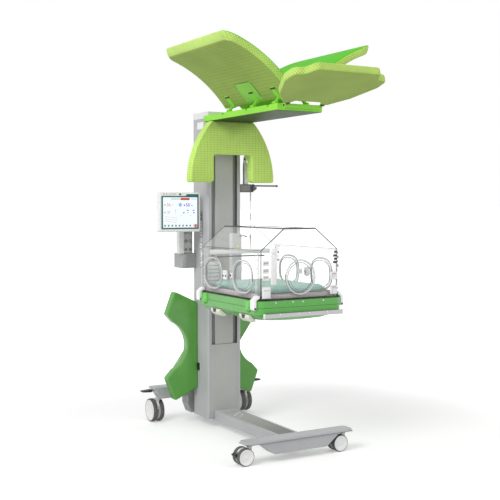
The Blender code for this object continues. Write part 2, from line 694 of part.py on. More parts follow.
def build_wings():
    """The green guard panels beside the column and the board that ties them behind it."""
    inner = COLUMN_HALF + GAP
    for name, side in (("wing_left", -1), ("wing_right", 1)):
        notch = arc((NOTCH_CENTRE_X, 0.0), NOTCH_RADIUS, 180 - NOTCH_ANGLE, 180 + NOTCH_ANGLE, 14)
        corners = [(inner, -WING_ROOT_HALF, 0.012), (inner, WING_ROOT_HALF, 0.012),
                   (WING_TIP_X, WING_TIP_HALF, 0.014), (WING_SHOULDER_X, WING_SHOULDER_HALF, 0.014)]
        corners += [(x, z, 0.0) for x, z in notch]
        corners += [(WING_SHOULDER_X, -WING_SHOULDER_HALF, 0.014),
                    (WING_TIP_X, -WING_TIP_HALF, 0.014)]
        outline = [(side * x, z + WING_MIDDLE) for x, z in rounded(corners, 3)]
        wing = prism(name, outline, "Y", COLUMN_REAR - WING_THICK, COLUMN_REAR, WING_GREEN)
        soften(wing, WING_EDGE_RADIUS, 2, 60)

    along = Vector((math.cos(math.radians(BRACE_ANGLE)), math.sin(math.radians(BRACE_ANGLE))))
    across = Vector((along.y, -along.x)) * BRACE_WIDTH / 2
    middle = Vector((BRACE_CENTRE_X, WING_MIDDLE))
    corners = [middle - along * BRACE_LOW - across, middle - along * BRACE_LOW + across,
               middle + along * BRACE_HIGH + across, middle + along * BRACE_HIGH - across]
    outline = rounded([(p.x, p.y, 0.010) for p in corners], 2)
    brace = prism("wing_brace", outline, "Y", COLUMN_REAR + GAP, COLUMN_REAR + GAP + BRACE_THICK,
                  WING_GREEN)
    soften(brace, 0.004, 1, 60)


def wheel_profile(radius):
    """Half section of a twin wheel with its axle: two tyres with dished hub faces."""
    half, space = WHEEL_HALF_WIDTH, WHEEL_HALF_SPACE
    side = [(0.0, -half + 0.004), (0.60 * radius, -half + 0.004), (0.66 * radius, -half),
            (0.90 * radius, -half), (radius, -half + 0.006), (radius, -space - 0.004),
            (0.95 * radius, -space), (AXLE_RADIUS, -space)]
    return side + [(r, -t) for r, t in reversed(side)]


def make_fork(radius, trail, mount):
    """Swivel head, web and wheel guard of a caster, standing at the swivel axis."""
    guard = radius - 0.003
    thick = FORK_HALF_THICK
    shape = arc((trail, radius), guard, -8, 140, 12) + arc((trail, radius), 0.016, 200, 320, 4)
    fork = prism("fork", shape, "Y", -thick, thick, WHITE_PLASTIC)
    neck = prism("neck", [(-0.013, mount - 0.012), (-0.011, radius + 0.012),
                          (trail * 0.6, radius), (0.013, mount - 0.012)],
                 "Y", -thick, thick, WHITE_PLASTIC)
    head = turned("head", [(0.0, mount - 0.014), (SWIVEL_RADIUS - 0.004, mount - 0.014),
                           (SWIVEL_RADIUS, mount - 0.010), (SWIVEL_RADIUS, mount - GAP),
                           (0.0, mount - GAP)], (0, 0, 0), "Z", WHITE_PLASTIC, 16)
    fuse(fork, neck, head)
    bore = rod("bore", (trail, 0, radius), "Y", AXLE_RADIUS + PIN_PLAY, -0.02, 0.02)
    cut(fork, bore)
    return fork


def add_front_pedal_arm(fork):
    """The tail of a front fork that carries the brake pedal."""
    thick = FORK_HALF_THICK
    tail = arc((FRONT_PEDAL_AXIS, FRONT_PEDAL_HEIGHT), 0.0055, -90, 90, 6)
    tail += [(FRONT_TRAIL + 0.030, FRONT_PEDAL_HEIGHT + 0.0055),
             (FRONT_TRAIL + 0.030, FRONT_PEDAL_HEIGHT - 0.0055)]
    fuse(fork, prism("tail", tail, "Y", -thick, thick, WHITE_PLASTIC))
    cut(fork, rod("eye", (FRONT_PEDAL_AXIS, 0, FRONT_PEDAL_HEIGHT), "Y",
                  PEDAL_PIN_RADIUS + PIN_PLAY, -0.02, 0.02, steps=12))


def make_pedal(axis_at, height, reach, half_width):
    """A brake pedal: two cheeks and a pin round the lug at axis_at, and a tread beyond it."""
    inner = axis_at - 0.0045
    space = FORK_HALF_THICK + 0.0006
    tread = [(inner, height - 0.0055), (axis_at + 0.004, height - 0.007),
             (reach - 0.003, height - 0.003), (reach, height),
             (reach - 0.002, height + 0.005), (inner, height + 0.009)]
    pedal = prism("pedal", tread, "Y", -half_width, half_width, BLACK_PLASTIC)
    slot = block("slot", (axis_at - 0.03, axis_at + 0.0068), (-space, space),
                 (height - 0.03, height + 0.03), BLACK_PLASTIC)
    cut(pedal, slot)
    pin = rod("pin", (axis_at, 0, height), "Y", PEDAL_PIN_RADIUS, -space - 0.002, space + 0.002,
              steps=12)
    fuse(pedal, pin)
    return pedal


def copy_of(source, name, finish):
    """A named object with a copy of another's mesh and a material of its own."""
    bm = bmesh.new()
    bm.from_mesh(source.data)
    return add_object(name, bm, finish)


def build_casters():
    """Four twin-wheel casters, each a fork that swivels and a wheel pair that rolls."""
    front_mount = FRONT_BAR_TOP - FRONT_BAR_PLATE
    kinds = {"front": (FRONT_WHEEL_RADIUS, FRONT_TRAIL, front_mount),
             "rear": (REAR_WHEEL_RADIUS, REAR_TRAIL, REAR_BAR_BOTTOM)}
    forks, wheels = {}, {}
    for kind, (radius, trail, mount) in kinds.items():
        forks[kind] = make_fork(radius, trail, mount)
        wheels[kind] = turned("wheels", wheel_profile(radius), (trail, 0, radius), "Y",
                              RUBBER_GREY, 20)
    add_front_pedal_arm(forks["front"])
    front_pedal = make_pedal(FRONT_PEDAL_AXIS, FRONT_PEDAL_HEIGHT, FRONT_PEDAL_REACH,
                             PEDAL_HALF_WIDTH)
    rear_pedal = make_pedal(REAR_PEDAL_AXIS, REAR_PEDAL_HEIGHT, REAR_PEDAL_REACH,
                            PEDAL_HALF_WIDTH)
    corners = {"front_left": ("front", -FRONT_PIVOT_X, FRONT_BAR_Y, 180.0),
               "front_right": ("front", FRONT_PIVOT_X, FRONT_BAR_Y, 180.0),
               "rear_left": ("rear", -REAR_PIVOT_X, REAR_BAR_Y, 90.0),
               "rear_right": ("rear", REAR_PIVOT_X, REAR_BAR_Y, 90.0)}
    for corner, (kind, x, y, heading) in corners.items():
        radius, trail, mount = kinds[kind]
        stand = Matrix.Translation((x, y, 0.0)) @ Matrix.Rotation(math.radians(heading), 4, "Z")
        swivel = pivot(corner + "_swivel", (x, y, mount))
        fork = place(copy_of(forks[kind], "caster_fork_" + corner, WHITE_PLASTIC), stand)
        hang(swivel, fork)
        hub = stand @ Vector((trail, 0.0, radius))
        pair = place(copy_of(wheels[kind], "caster_wheels_" + corner, RUBBER_GREY), stand)
        hang(pivot(corner + "_axle", hub, swivel), pair)
        if kind == "front":
            pedal = place(copy_of(front_pedal, "brake_pedal_" + corner, BLACK_PLASTIC), stand)
            at = stand @ Vector((FRONT_PEDAL_AXIS, 0.0, FRONT_PEDAL_HEIGHT))
            hang(pivot(corner + "_pedal_axis", at, swivel), pedal)
        else:
            side = -1 if x < 0 else 1
            turn = Matrix.Rotation(math.pi if side < 0 else 0.0, 4, "Z")
            stand = Matrix.Translation((0.0, REAR_BAR_Y, 0.0)) @ turn
            pedal = place(copy_of(rear_pedal, "brake_pedal_" + corner, BLACK_PLASTIC), stand)
            at = (side * REAR_PEDAL_AXIS, REAR_BAR_Y, REAR_PEDAL_HEIGHT)
            hang(pivot(corner + "_pedal_axis", at), pedal)
    for template in list(forks.values()) + list(wheels.values()) + [front_pedal, rear_pedal]:
        bpy.data.objects.remove(template, do_unlink=True)


def bed_ring(half_x, half_y, radius, height, steps=4):
    """A round-cornered ring of points at a height, round the bed's middle."""
    return [(x, y, height) for x, y in rounded_box(half_x, half_y, radius, (0.0, BED_Y), steps)]


def build_bed(lift):
    """The green tub and its pan, the tilting deck, the mattress and the rail in front."""
    hx, hy, r, wall = TUB_HALF_X, TUB_HALF_Y, TUB_CORNER, TUB_WALL
    seam = TUB_TOP - SEAM_HEIGHT
    rings = [bed_ring(hx - 0.004, hy - 0.004, r, TUB_BOTTOM),
             bed_ring(hx, hy, r, TUB_BOTTOM + 0.006),
             bed_ring(hx, hy, r, seam - 0.002),
             bed_ring(hx - SEAM_DEPTH, hy - SEAM_DEPTH, r - SEAM_DEPTH, seam),
             bed_ring(hx, hy, r, seam + 0.002),
             bed_ring(hx, hy, r, TUB_TOP - 0.004),
             bed_ring(hx - 0.003, hy - 0.003, r - 0.003, TUB_TOP)]
    tub = loft("bed_tub", rings, TUB_GREEN)
    centre_x = hx - 0.006
    low, high = TUB_BOTTOM + 0.012, TUB_TOP - 0.002
    for side in (-1, 1):
        for y in (ARM_FRONT_Y + BOSS_SPACING, ARM_REAR_Y - BOSS_SPACING):
            boss = turned("boss", [(0.0, low), (BOSS_RADIUS * 0.6, low + 0.002),
                                   (BOSS_RADIUS, low + 0.014), (BOSS_RADIUS, high - 0.004),
                                   (BOSS_RADIUS - 0.004, high), (0.0, high)],
                          (side * centre_x, y, 0.0), "Z", TUB_GREEN, 16)
            end = ARM_FRONT_Y - 0.012 if y < BED_Y else ARM_REAR_Y + 0.012
            pin = rod("pin", (side * HINGE_X, 0.0, HINGE_HEIGHT), "Y", HINGE_PIN_RADIUS,
                      min(y, end), max(y, end), steps=12)
            fuse(tub, boss, pin)
    floor = TUB_BOTTOM + TUB_FLOOR
    cut(tub, loft("room", [bed_ring(hx - wall, hy - wall, r - wall, z)
                           for z in (floor, TUB_TOP + 0.02)], TUB_GREEN))
    rest = block("rest", (-TILT_HALF_WIDTH + 0.01, TILT_HALF_WIDTH - 0.01),
                 (BED_Y - 0.030, BED_Y + 0.030),
                 (TUB_BOTTOM + TUB_FLOOR - 0.002, TILT_AXIS_HEIGHT), TUB_GREEN)
    fuse(tub, rest)
    cut(tub, rod("trough", (0.0, BED_Y, TILT_AXIS_HEIGHT), "X", TILT_RADIUS + PIN_PLAY,
                 -TILT_HALF_WIDTH, TILT_HALF_WIDTH))

    pan_top = TUB_BOTTOM - GAP
    steps = [(PAN_INSET, 0.060, pan_top), (PAN_INSET + 0.012, 0.080, pan_top - 0.015),
             (PAN_INSET + 0.037, 0.110, pan_top - 0.030), (PAN_INSET + 0.092, 0.130, PAN_BOTTOM)]
    pan = loft("bed_pan", [bed_ring(hx - inset, hy - inset, radius, z)
                           for inset, radius, z in steps], TUB_GREEN)

    deck = block("mattress_deck", (-DECK_HALF_X, DECK_HALF_X),
                 (BED_Y - DECK_HALF_Y, BED_Y + DECK_HALF_Y), (DECK_BOTTOM, DECK_TOP),
                 DECK_GREY, 0.004)
    rib = block("rib", (-TILT_HALF_WIDTH + 0.01, TILT_HALF_WIDTH - 0.01),
                (BED_Y - 0.010, BED_Y + 0.010), (TILT_AXIS_HEIGHT, DECK_BOTTOM + 0.002), DECK_GREY)
    barrel = rod("barrel", (0.0, BED_Y, TILT_AXIS_HEIGHT), "X", TILT_RADIUS,
                 -TILT_HALF_WIDTH + 0.01, TILT_HALF_WIDTH - 0.01)
    fuse(deck, rib, barrel)
    mattress = block("mattress", (-DECK_HALF_X + MATTRESS_INSET, DECK_HALF_X - MATTRESS_INSET),
                     (BED_Y - DECK_HALF_Y + MATTRESS_INSET, BED_Y + DECK_HALF_Y - MATTRESS_INSET),
                     (DECK_TOP + GAP, DECK_TOP + MATTRESS_THICK), TEAL_FABRIC, 0.012)
    hang(pivot("deck_tilt_axis", (0.0, BED_Y, TILT_AXIS_HEIGHT), lift), deck, mattress)

    face = TUB_FRONT - RAIL_STANDOFF
    rail = block("equipment_rail", (-RAIL_HALF, RAIL_HALF), (face - RAIL_THICK, face),
                 (RAIL_MIDDLE - RAIL_HEIGHT / 2, RAIL_MIDDLE + RAIL_HEIGHT / 2), ALUMINIUM,
                 0.0015, 1)
    boss_height = RAIL_MIDDLE + RAIL_HEIGHT / 2 - RAIL_BOSS_RADIUS
    bosses = [rod("boss", (x, 0.0, boss_height), "Y", RAIL_BOSS_RADIUS, face - 0.002,
                  TUB_FRONT - GAP, steps=12) for x in RAIL_BOSSES]
    fuse(rail, *bosses)
    hang(lift, tub, pan, rail)


def build_tilt_handles(lift):
    """Two white levers under the left edge of the tub that free the bed's tilt lock."""
    root_x = TUB_HALF_X - PAN_INSET - 2 * GAP
    top = TUB_BOTTOM - 0.002
    drops = [(0.0, 0.0), (-0.0115, 0.014), (-0.0325, 0.0285), (-0.034, 0.039), (-0.016, 0.041),
             (0.0, 0.032), (0.0115, 0.014), (0.0115, 0.003), (0.010, 0.0)]
    section = [(-root_x - out, top - drop) for out, drop in drops]
    for name, middle in (("tilt_handle_front", HANDLE_FRONT_Y), ("tilt_handle_rear", HANDLE_REAR_Y)):
        handle = prism(name, section, "Y", middle - HANDLE_LENGTH / 2, middle + HANDLE_LENGTH / 2,
                       WHITE_PLASTIC)
        soften(handle, 0.0015, 1, 40)
        hang(pivot(name + "_axis", (-root_x, middle, top), lift), handle)


def build_carriage(lift):
    """The carriage that climbs the column, the cradle behind the tub and the sensor tower."""
    cradle_front = TUB_REAR + GAP
    cradle_rear = cradle_front + CRADLE_THICK
    carriage = block("lift_carriage", (-CRADLE_HALF, CRADLE_HALF), (cradle_front, cradle_rear),
                     (CRADLE_BOTTOM, CRADLE_TOP), DARK_METAL, 0.003)
    inner = SLOT_INNER + ARM_PLAY
    outer = SLOT_OUTER - ARM_PLAY
    ring = block("ring", (-outer, outer), (cradle_rear - 0.002, CARRIAGE_REAR),
                 (CARRIAGE_BOTTOM, CRADLE_TOP - 0.004), DARK_METAL)
    between = block("between", (-inner, inner), (cradle_rear + 0.012, CARRIAGE_REAR - 0.014),
                    (CARRIAGE_BOTTOM - 0.02, CRADLE_TOP + 0.02), DARK_METAL)
    cut(ring, between)
    fuse(carriage, ring)

    tower = block("sensor_tower", (-TOWER_HALF, TOWER_HALF),
                  (cradle_front + 0.002, cradle_front + 0.002 + TOWER_DEPTH),
                  (CRADLE_TOP + GAP, TOWER_TOP), WHITE_PLASTIC, 0.005)
    hang(lift, carriage, tower)


def port_outline(grow, centre, steps=28):
    """The rounded outline of a hand port, grown outwards by a distance."""
    points = []
    power = 2.0 / PORT_SQUARENESS
    for i in range(steps):
        angle = math.tau * i / steps
        c, s = math.cos(angle), math.sin(angle)
        points.append((centre[0] + math.copysign(abs(c) ** power, c) * (PORT_HALF_WIDTH + grow),
                       centre[1] + math.copysign(abs(s) ** power, s) * (PORT_HALF_HEIGHT + grow)))
    return points


def round_outline(radius, centre, steps=28):
    """A circle of points."""
    return arc(centre, radius, 0.0, 360.0 * (steps - 1) / steps, steps - 1)


def hinge_lugs(part, turn, hinge_u, height, wall, finish):
    """Fuse to a wall the two lugs and the upright pin that a port door turns on.

    The shapes stand in a frame where u runs along the wall, w is up and the wall's outer
    face is at depth wall; turn takes that frame to its place."""
    reach = DOOR_KNUCKLE_RADIUS
    axis = wall + RING_HEIGHT + DOOR_THICK / 2
    for low in (-DOOR_KNUCKLE_HALF - 0.006 - GAP, DOOR_KNUCKLE_HALF + GAP):
        shape = arc((hinge_u, -axis), reach, 180, 360, 8)
        shape += [(hinge_u + reach, -wall + 0.001), (hinge_u - reach, -wall + 0.001)]
        lug = prism("lug", shape, "Z", height + low, height + low + 0.006, finish)
        fuse(part, place(lug, turn))
    pin = rod("pin", (hinge_u, -axis, 0.0), "Z", DOOR_PIN_RADIUS,
              height - DOOR_KNUCKLE_HALF - 0.003, height + DOOR_KNUCKLE_HALF + 0.003, steps=10)
    fuse(part, place(pin, turn))


def make_door(name, outline, turn, hinge_u, inward, height, wall):
    """A port door with the knuckle that turns on its pin and a tab towards its latch."""
    depth = wall + RING_HEIGHT + GAP
    axis = wall + RING_HEIGHT + DOOR_THICK / 2
    door = prism(name, outline, "Y", -depth - DOOR_THICK, -depth, CLEAR_ACRYLIC)
    knuckle = rod("knuckle", (hinge_u, -axis, 0.0), "Z", DOOR_KNUCKLE_RADIUS,
                  height - DOOR_KNUCKLE_HALF, height + DOOR_KNUCKLE_HALF, steps=14)
    edge = max(abs(u - hinge_u) for u, _ in outline if (u - hinge_u) * inward > 0)
    notch = block("notch", (hinge_u - inward * 0.03,
                            hinge_u + inward * (DOOR_KNUCKLE_RADIUS + 0.001)),
                  (-depth - 0.03, -depth + 0.01),
                  (height - DOOR_KNUCKLE_HALF - 0.0075, height + DOOR_KNUCKLE_HALF + 0.0075),
                  CLEAR_ACRYLIC)
    cut(door, notch)
    leaf = block("leaf", (hinge_u, hinge_u + inward * (DOOR_KNUCKLE_RADIUS + 0.008)),
                 (-depth - DOOR_THICK + 0.0005, -depth - 0.0005),
                 (height - DOOR_KNUCKLE_HALF, height + DOOR_KNUCKLE_HALF), CLEAR_ACRYLIC)
    tab = block("tab", (hinge_u + inward * (edge - 0.010), hinge_u + inward * (edge + 0.009)),
                (-depth - DOOR_THICK + 0.0005, -depth - 0.0005),
                (height - 0.011, height + 0.011), CLEAR_ACRYLIC)
    fuse(door, leaf, knuckle, tab)
    cut(door, rod("bore", (hinge_u, -axis, 0.0), "Z", DOOR_PIN_RADIUS + PIN_PLAY,
                  height - 0.05, height + 0.05, steps=12))
    place(door, turn)
    return door


def build_hood(lift):
    """The clear hood with its front port, and the drop-down side panels."""
    wall = HOOD_WALL
    outer = [(-HOOD_HALF, TUB_TOP + GAP), (-HOOD_HALF, HOOD_EAVE), (-HOOD_ROOF_HALF, HOOD_ROOF),
             (HOOD_ROOF_HALF, HOOD_ROOF), (HOOD_HALF, HOOD_EAVE), (HOOD_HALF, TUB_TOP + GAP)]
    slope = math.atan2(HOOD_ROOF - HOOD_EAVE, HOOD_HALF - HOOD_ROOF_HALF)
    eave_drop = wall * math.tan(slope / 2)
    inner = [(-HOOD_HALF + wall, TUB_TOP - 0.01), (-HOOD_HALF + wall, HOOD_EAVE - eave_drop),
             (-HOOD_ROOF_HALF + eave_drop, HOOD_ROOF - wall),
             (HOOD_ROOF_HALF - eave_drop, HOOD_ROOF - wall),
             (HOOD_HALF - wall, HOOD_EAVE - eave_drop), (HOOD_HALF - wall, TUB_TOP - 0.01)]
    hood = prism("hood_shell", outer, "Y", HOOD_FRONT, HOOD_REAR, CLEAR_ACRYLIC)
    cut(hood, prism("inside", inner, "Y", HOOD_FRONT + wall, HOOD_REAR - wall, CLEAR_ACRYLIC))
    cut(hood, block("windows", (-HOOD_HALF - 0.02, HOOD_HALF + 0.02), (WINDOW_FRONT, WINDOW_REAR),
                    (TUB_TOP - 0.01, WINDOW_TOP), CLEAR_ACRYLIC))
    port = round_outline(FRONT_PORT_HALF, (FRONT_PORT_X, PORT_HEIGHT))
    cut(hood, prism("port", port, "Y", HOOD_FRONT - 0.02, HOOD_FRONT + 0.02, CLEAR_ACRYLIC))
    ring = prism("ring", round_outline(FRONT_PORT_HALF + RING_WIDTH, (FRONT_PORT_X, PORT_HEIGHT)),
                 "Y", HOOD_FRONT - RING_HEIGHT, HOOD_FRONT + 0.001, CLEAR_ACRYLIC)
    cut(ring, prism("hole", port, "Y", HOOD_FRONT - 0.02, HOOD_FRONT + 0.02, CLEAR_ACRYLIC))
    fuse(hood, ring)
    still = Matrix.Identity(4)
    hinge_u = FRONT_PORT_X - FRONT_PORT_HALF - DOOR_OVERLAP - DOOR_HINGE_SET
    hinge_lugs(hood, still, hinge_u, PORT_HEIGHT, -HOOD_FRONT, CLEAR_ACRYLIC)
    plate = round_outline(FRONT_PORT_HALF + DOOR_OVERLAP, (FRONT_PORT_X, PORT_HEIGHT))
    door = make_door("port_door_front", plate, still, hinge_u, 1, PORT_HEIGHT, -HOOD_FRONT)
    axis_y = HOOD_FRONT - RING_HEIGHT - DOOR_THICK / 2
    hang(pivot("front_port_axis", (hinge_u, axis_y, PORT_HEIGHT), lift), door)
    hang(lift, hood)
    for name, side in (("left", -1), ("right", 1)):
        build_side(lift, name, side)


def build_side(lift, name, side):
    """One side panel with its two hand ports, its hinge arms and its latch."""
    swing = pivot("side_" + name + "_axis", (side * HINGE_X, BED_Y, HINGE_HEIGHT), lift)
    # The panel is made facing -Y, u along +X, then turned to face its side.
    quarter = -90.0 if side < 0 else 90.0
    turn = Matrix.Rotation(math.radians(quarter), 4, "Z")
    to_u = -side

    def along(y):
        return -to_u * y if side < 0 else y

    ends = sorted((along(SIDE_FRONT), along(SIDE_REAR)))
    panel = prism("side_panel_" + name, rounded_box((ends[1] - ends[0]) / 2,
                  (SIDE_TOP - SIDE_BOTTOM) / 2, 0.010,
                  ((ends[0] + ends[1]) / 2, (SIDE_TOP + SIDE_BOTTOM) / 2), 3),
                  "Y", -SIDE_OUTER, -SIDE_INNER, CLEAR_ACRYLIC)
    ports = [(along(PORT_FRONT_Y), along(ARM_FRONT_Y)), (along(PORT_REAR_Y), along(ARM_REAR_Y))]
    for centre_u, _ in ports:
        hole = port_outline(0.0, (centre_u, PORT_HEIGHT))
        ring = prism("ring", port_outline(RING_WIDTH, (centre_u, PORT_HEIGHT)), "Y",
                     -SIDE_OUTER - RING_HEIGHT, -SIDE_OUTER + 0.001, CLEAR_ACRYLIC)
        fuse(panel, ring)
        cut(panel, prism("hole", hole, "Y", -SIDE_OUTER - 0.02, -SIDE_INNER + 0.02,
                         CLEAR_ACRYLIC))
    place(panel, turn)
    doors = []
    for end, (centre_u, arm_u) in zip(("front", "rear"), ports):
        outward = 1 if arm_u > centre_u else -1
        hinge_u = centre_u + outward * (PORT_HALF_WIDTH + DOOR_OVERLAP + DOOR_HINGE_SET)
        hinge_lugs(panel, turn, hinge_u, PORT_HEIGHT, SIDE_OUTER, CLEAR_ACRYLIC)
        plate = port_outline(DOOR_OVERLAP, (centre_u, PORT_HEIGHT))
        door = make_door("port_door_" + name + "_" + end, plate, turn, hinge_u, -outward,
                         PORT_HEIGHT, SIDE_OUTER)
        at = turn @ Vector((hinge_u, -SIDE_OUTER - RING_HEIGHT - DOOR_THICK / 2, PORT_HEIGHT))
        doors.append(door)
        hang(pivot("port_" + name + "_" + end + "_axis", at, swing), door)

    middle = PORT_MIDDLE
    # The latch stands between the two doors and slides in on a short stem.
    stem_in = side * SIDE_OUTER
    face_in = side * (SIDE_OUTER + RING_HEIGHT + DOOR_THICK + 0.004)
    latch = block("port_latch_" + name, (face_in, face_in + side * LATCH_THICK),
                  (middle - LATCH_HALF_WIDTH, middle + LATCH_HALF_WIDTH),
                  (PORT_HEIGHT - LATCH_HALF_HEIGHT, PORT_HEIGHT + LATCH_HALF_HEIGHT),
                  WHITE_PLASTIC, 0.003)
    stem = rod("stem", (0.0, middle, PORT_HEIGHT), "X", LATCH_STEM_RADIUS,
               min(stem_in + side * 0.0035, face_in + side * 0.002),
               max(stem_in + side * 0.0035, face_in + side * 0.002), steps=12)
    fuse(latch, stem)
    guide = rod("guide", (0.0, middle, PORT_HEIGHT), "X", LATCH_STEM_RADIUS + 0.003,
                min(stem_in - side * 0.001, stem_in + side * 0.0085),
                max(stem_in - side * 0.001, stem_in + side * 0.0085), steps=14)
    fuse(panel, guide)
    cut(panel, rod("socket", (0.0, middle, PORT_HEIGHT), "X", LATCH_STEM_RADIUS + PIN_PLAY,
                   min(stem_in, stem_in + side * 0.02), max(stem_in, stem_in + side * 0.02),
                   steps=14))
    hang(pivot("latch_" + name + "_slide", (stem_in, middle, PORT_HEIGHT), swing), latch)
    hang(swing, panel)
    for end, y in (("front", ARM_FRONT_Y), ("rear", ARM_REAR_Y)):
        hang(swing, make_arm("hinge_arm_" + name + "_" + end, side, y))


def make_arm(name, side, middle):
    """A white arm along a panel's end, down to the foot that turns on the tub's pin."""
    top_in = SIDE_OUTER + GAP
    foot_in = TUB_HALF_X + FOOT_CLEAR
    foot_out = foot_in + FOOT_THICK
    radius = FOOT_THICK / 2
    shape = [(top_in, ARM_TOP, 0), (top_in, SIDE_BOTTOM + 0.010, 0),
             (foot_in, SIDE_BOTTOM - 0.001, 0)]
    shape += [(x, z, 0) for x, z in arc((foot_in + radius, HINGE_HEIGHT), radius, 180, 360, 8)]
    shape += [(foot_out, SIDE_BOTTOM + 0.002, 0.004),
              (top_in + ARM_THICK, SIDE_BOTTOM + 0.024, 0.004),
              (top_in + ARM_THICK, ARM_TOP, 0.004)]
    outline = [(side * x, z) for x, z in rounded(shape, 2)]
    arm = prism(name, outline, "Y", middle - ARM_WIDTH / 2, middle + ARM_WIDTH / 2, WHITE_PLASTIC)
    soften(arm, 0.002, 1, 60)
    hole = rod("hole", (side * (foot_in + radius), 0.0, HINGE_HEIGHT), "Y",
               HINGE_PIN_RADIUS + PIN_PLAY, middle - 0.05, middle + 0.05, steps=14)
    return cut(arm, hole)


def eye_arm(axis_at, tip, y, width, finish):
    """A flat arm in the XZ plane from a hinge eye to a tip, and the eye's bore tool."""
    axis = Vector(axis_at)
    reach = Vector(tip) - axis
    start = math.degrees(math.atan2(reach.y, reach.x)) + 90
    outline = arc(axis_at, HINGE_EYE_RADIUS, start, start + 180, 8)
    normal = Vector((-reach.y, reach.x)).normalized() * HINGE_EYE_RADIUS
    outline += [tuple(Vector(tip) - normal), tuple(Vector(tip) + normal)]
    return prism("arm", outline, "Y", y - width / 2, y + width / 2, finish)


def petal_arm_tip():
    """Where the hinge arms of the side petals end, inside the pad near its root."""
    centre = petal_profile()[1]
    grip = math.radians(90 + PETAL_ROOT_SLOPE - ARM_GRIP_ANGLE)
    reach = PETAL_INNER_RADIUS + ARM_GRIP_DEPTH
    return centre[0] + reach * math.cos(grip), centre[1] + reach * math.sin(grip)


def fold_relief():
    """The bite out of the bridge's edge that takes a hinge arm when its petal is folded."""
    axis = Vector((PETAL_AXIS_X, PETAL_AXIS_Z))
    reach = Vector(petal_arm_tip()) - axis
    turn = math.atan2(reach.y, reach.x) - math.radians(PETAL_FOLD)
    along = Vector((math.cos(turn), math.sin(turn)))
    start = axis + Vector((along.y, -along.x)) * (HINGE_EYE_RADIUS + RELIEF_PLAY)
    edge = start + along * ((BRIDGE_HALF + RELIEF_PLAY - start.x) / along.x)
    top = PETAL_AXIS_Z + HINGE_EYE_RADIUS
    return [tuple(start), tuple(edge), (edge.x, top), (start.x, top)]


def build_bridge():
    """The plate over the bed that carries the petals, with its hinge lugs and pins."""
    bridge = block("canopy_bridge", (-BRIDGE_HALF, BRIDGE_HALF), (BRIDGE_FRONT, COLUMN_FRONT - GAP),
                   (BRIDGE_BOTTOM, BRIDGE_TOP), LIME_FOAM, 0.005)
    half = HINGE_ARM_WIDTH / 2
    relief = fold_relief()
    for side in (-1, 1):
        shape = [(side * x, z) for x, z in relief]
        for y in PETAL_HINGES:
            reach = half + GAP + RELIEF_PLAY
            cut(bridge, prism("relief", shape, "Y", y - reach, y + reach, LIME_FOAM))
    for side in (-1, 1):
        for y in PETAL_HINGES:
            for low in (y - half - GAP - LUG_WIDTH, y + half + GAP):
                shape = arc((side * PETAL_AXIS_X, PETAL_AXIS_Z), HINGE_EYE_RADIUS, 0, 180, 8)
                shape += [(side * PETAL_AXIS_X - HINGE_EYE_RADIUS, BRIDGE_TOP - 0.003),
                          (side * PETAL_AXIS_X + HINGE_EYE_RADIUS, BRIDGE_TOP - 0.003)]
                fuse(bridge, prism("lug", shape, "Y", low, low + LUG_WIDTH, LIME_FOAM))
            pin = rod("pin", (side * PETAL_AXIS_X, 0.0, PETAL_AXIS_Z), "Y", PETAL_PIN_RADIUS,
                      y - half - LUG_WIDTH / 2, y + half + LUG_WIDTH / 2, steps=12)
            fuse(bridge, pin)
    barrel = rod("barrel", (0.0, FRONT_AXIS_Y, FRONT_AXIS_Z), "X", HINGE_EYE_RADIUS,
                 -FRONT_ARM_X + half + GAP, FRONT_ARM_X - half - GAP)
    web = block("web", (-FRONT_ARM_X + half + GAP, FRONT_ARM_X - half - GAP),
                (FRONT_AXIS_Y, BRIDGE_FRONT + 0.004),
                (FRONT_AXIS_Z - HINGE_EYE_RADIUS, FRONT_AXIS_Z + 0.006), LIME_FOAM)
    pin = rod("pin", (0.0, FRONT_AXIS_Y, FRONT_AXIS_Z), "X", PETAL_PIN_RADIUS,
              -FRONT_ARM_X - half, FRONT_ARM_X + half, steps=12)
    fuse(bridge, barrel, web, pin)
    return bridge


def build_arch():
    """The padded arch behind the bed, hung under the bridge in front of the column."""
    top = BRIDGE_BOTTOM - GAP
    chord = Vector((ARCH_FOOT_HALF - BRIDGE_HALF, ARCH_FOOT - top))
    bulge = chord.length ** 2 / (8 * ARCH_BULGE) + ARCH_BULGE / 2
    half_angle = math.asin(chord.length / 2 / bulge)
    middle = Vector((BRIDGE_HALF, top)) + chord / 2
    normal = Vector((-chord.y, chord.x)).normalized()
    centre = middle - normal * (bulge - ARCH_BULGE)
    aim = math.atan2(normal.y, normal.x)
    side = [(centre.x + bulge * math.cos(aim + half_angle * (1 - 2 * i / 10)),
             centre.y + bulge * math.sin(aim + half_angle * (1 - 2 * i / 10))) for i in range(11)]
    right = [(x, z, 0.0) for x, z in side[:-1]] + [(ARCH_FOOT_HALF, ARCH_FOOT, 0.012),
             (ARCH_NOTCH_HALF, ARCH_FOOT, 0.020), (ARCH_NOTCH_HALF, ARCH_NOTCH_TOP, 0.020)]
    corners = right + [(-x, z, r) for x, z, r in reversed(right)]
    arch = prism("canopy_arch", rounded(corners, 3), "Y", ARCH_FRONT, ARCH_FRONT + ARCH_THICK,
                 LIME_FOAM)
    soften(arch, 0.006, 2, 60)
    hanger = block("hanger", (-0.060, 0.060), (ARCH_FRONT + ARCH_THICK - 0.004,
                   COLUMN_FRONT - GAP), (top - 0.090, top - 0.020), LIME_FOAM, 0.003, 1)
    fuse(arch, hanger)


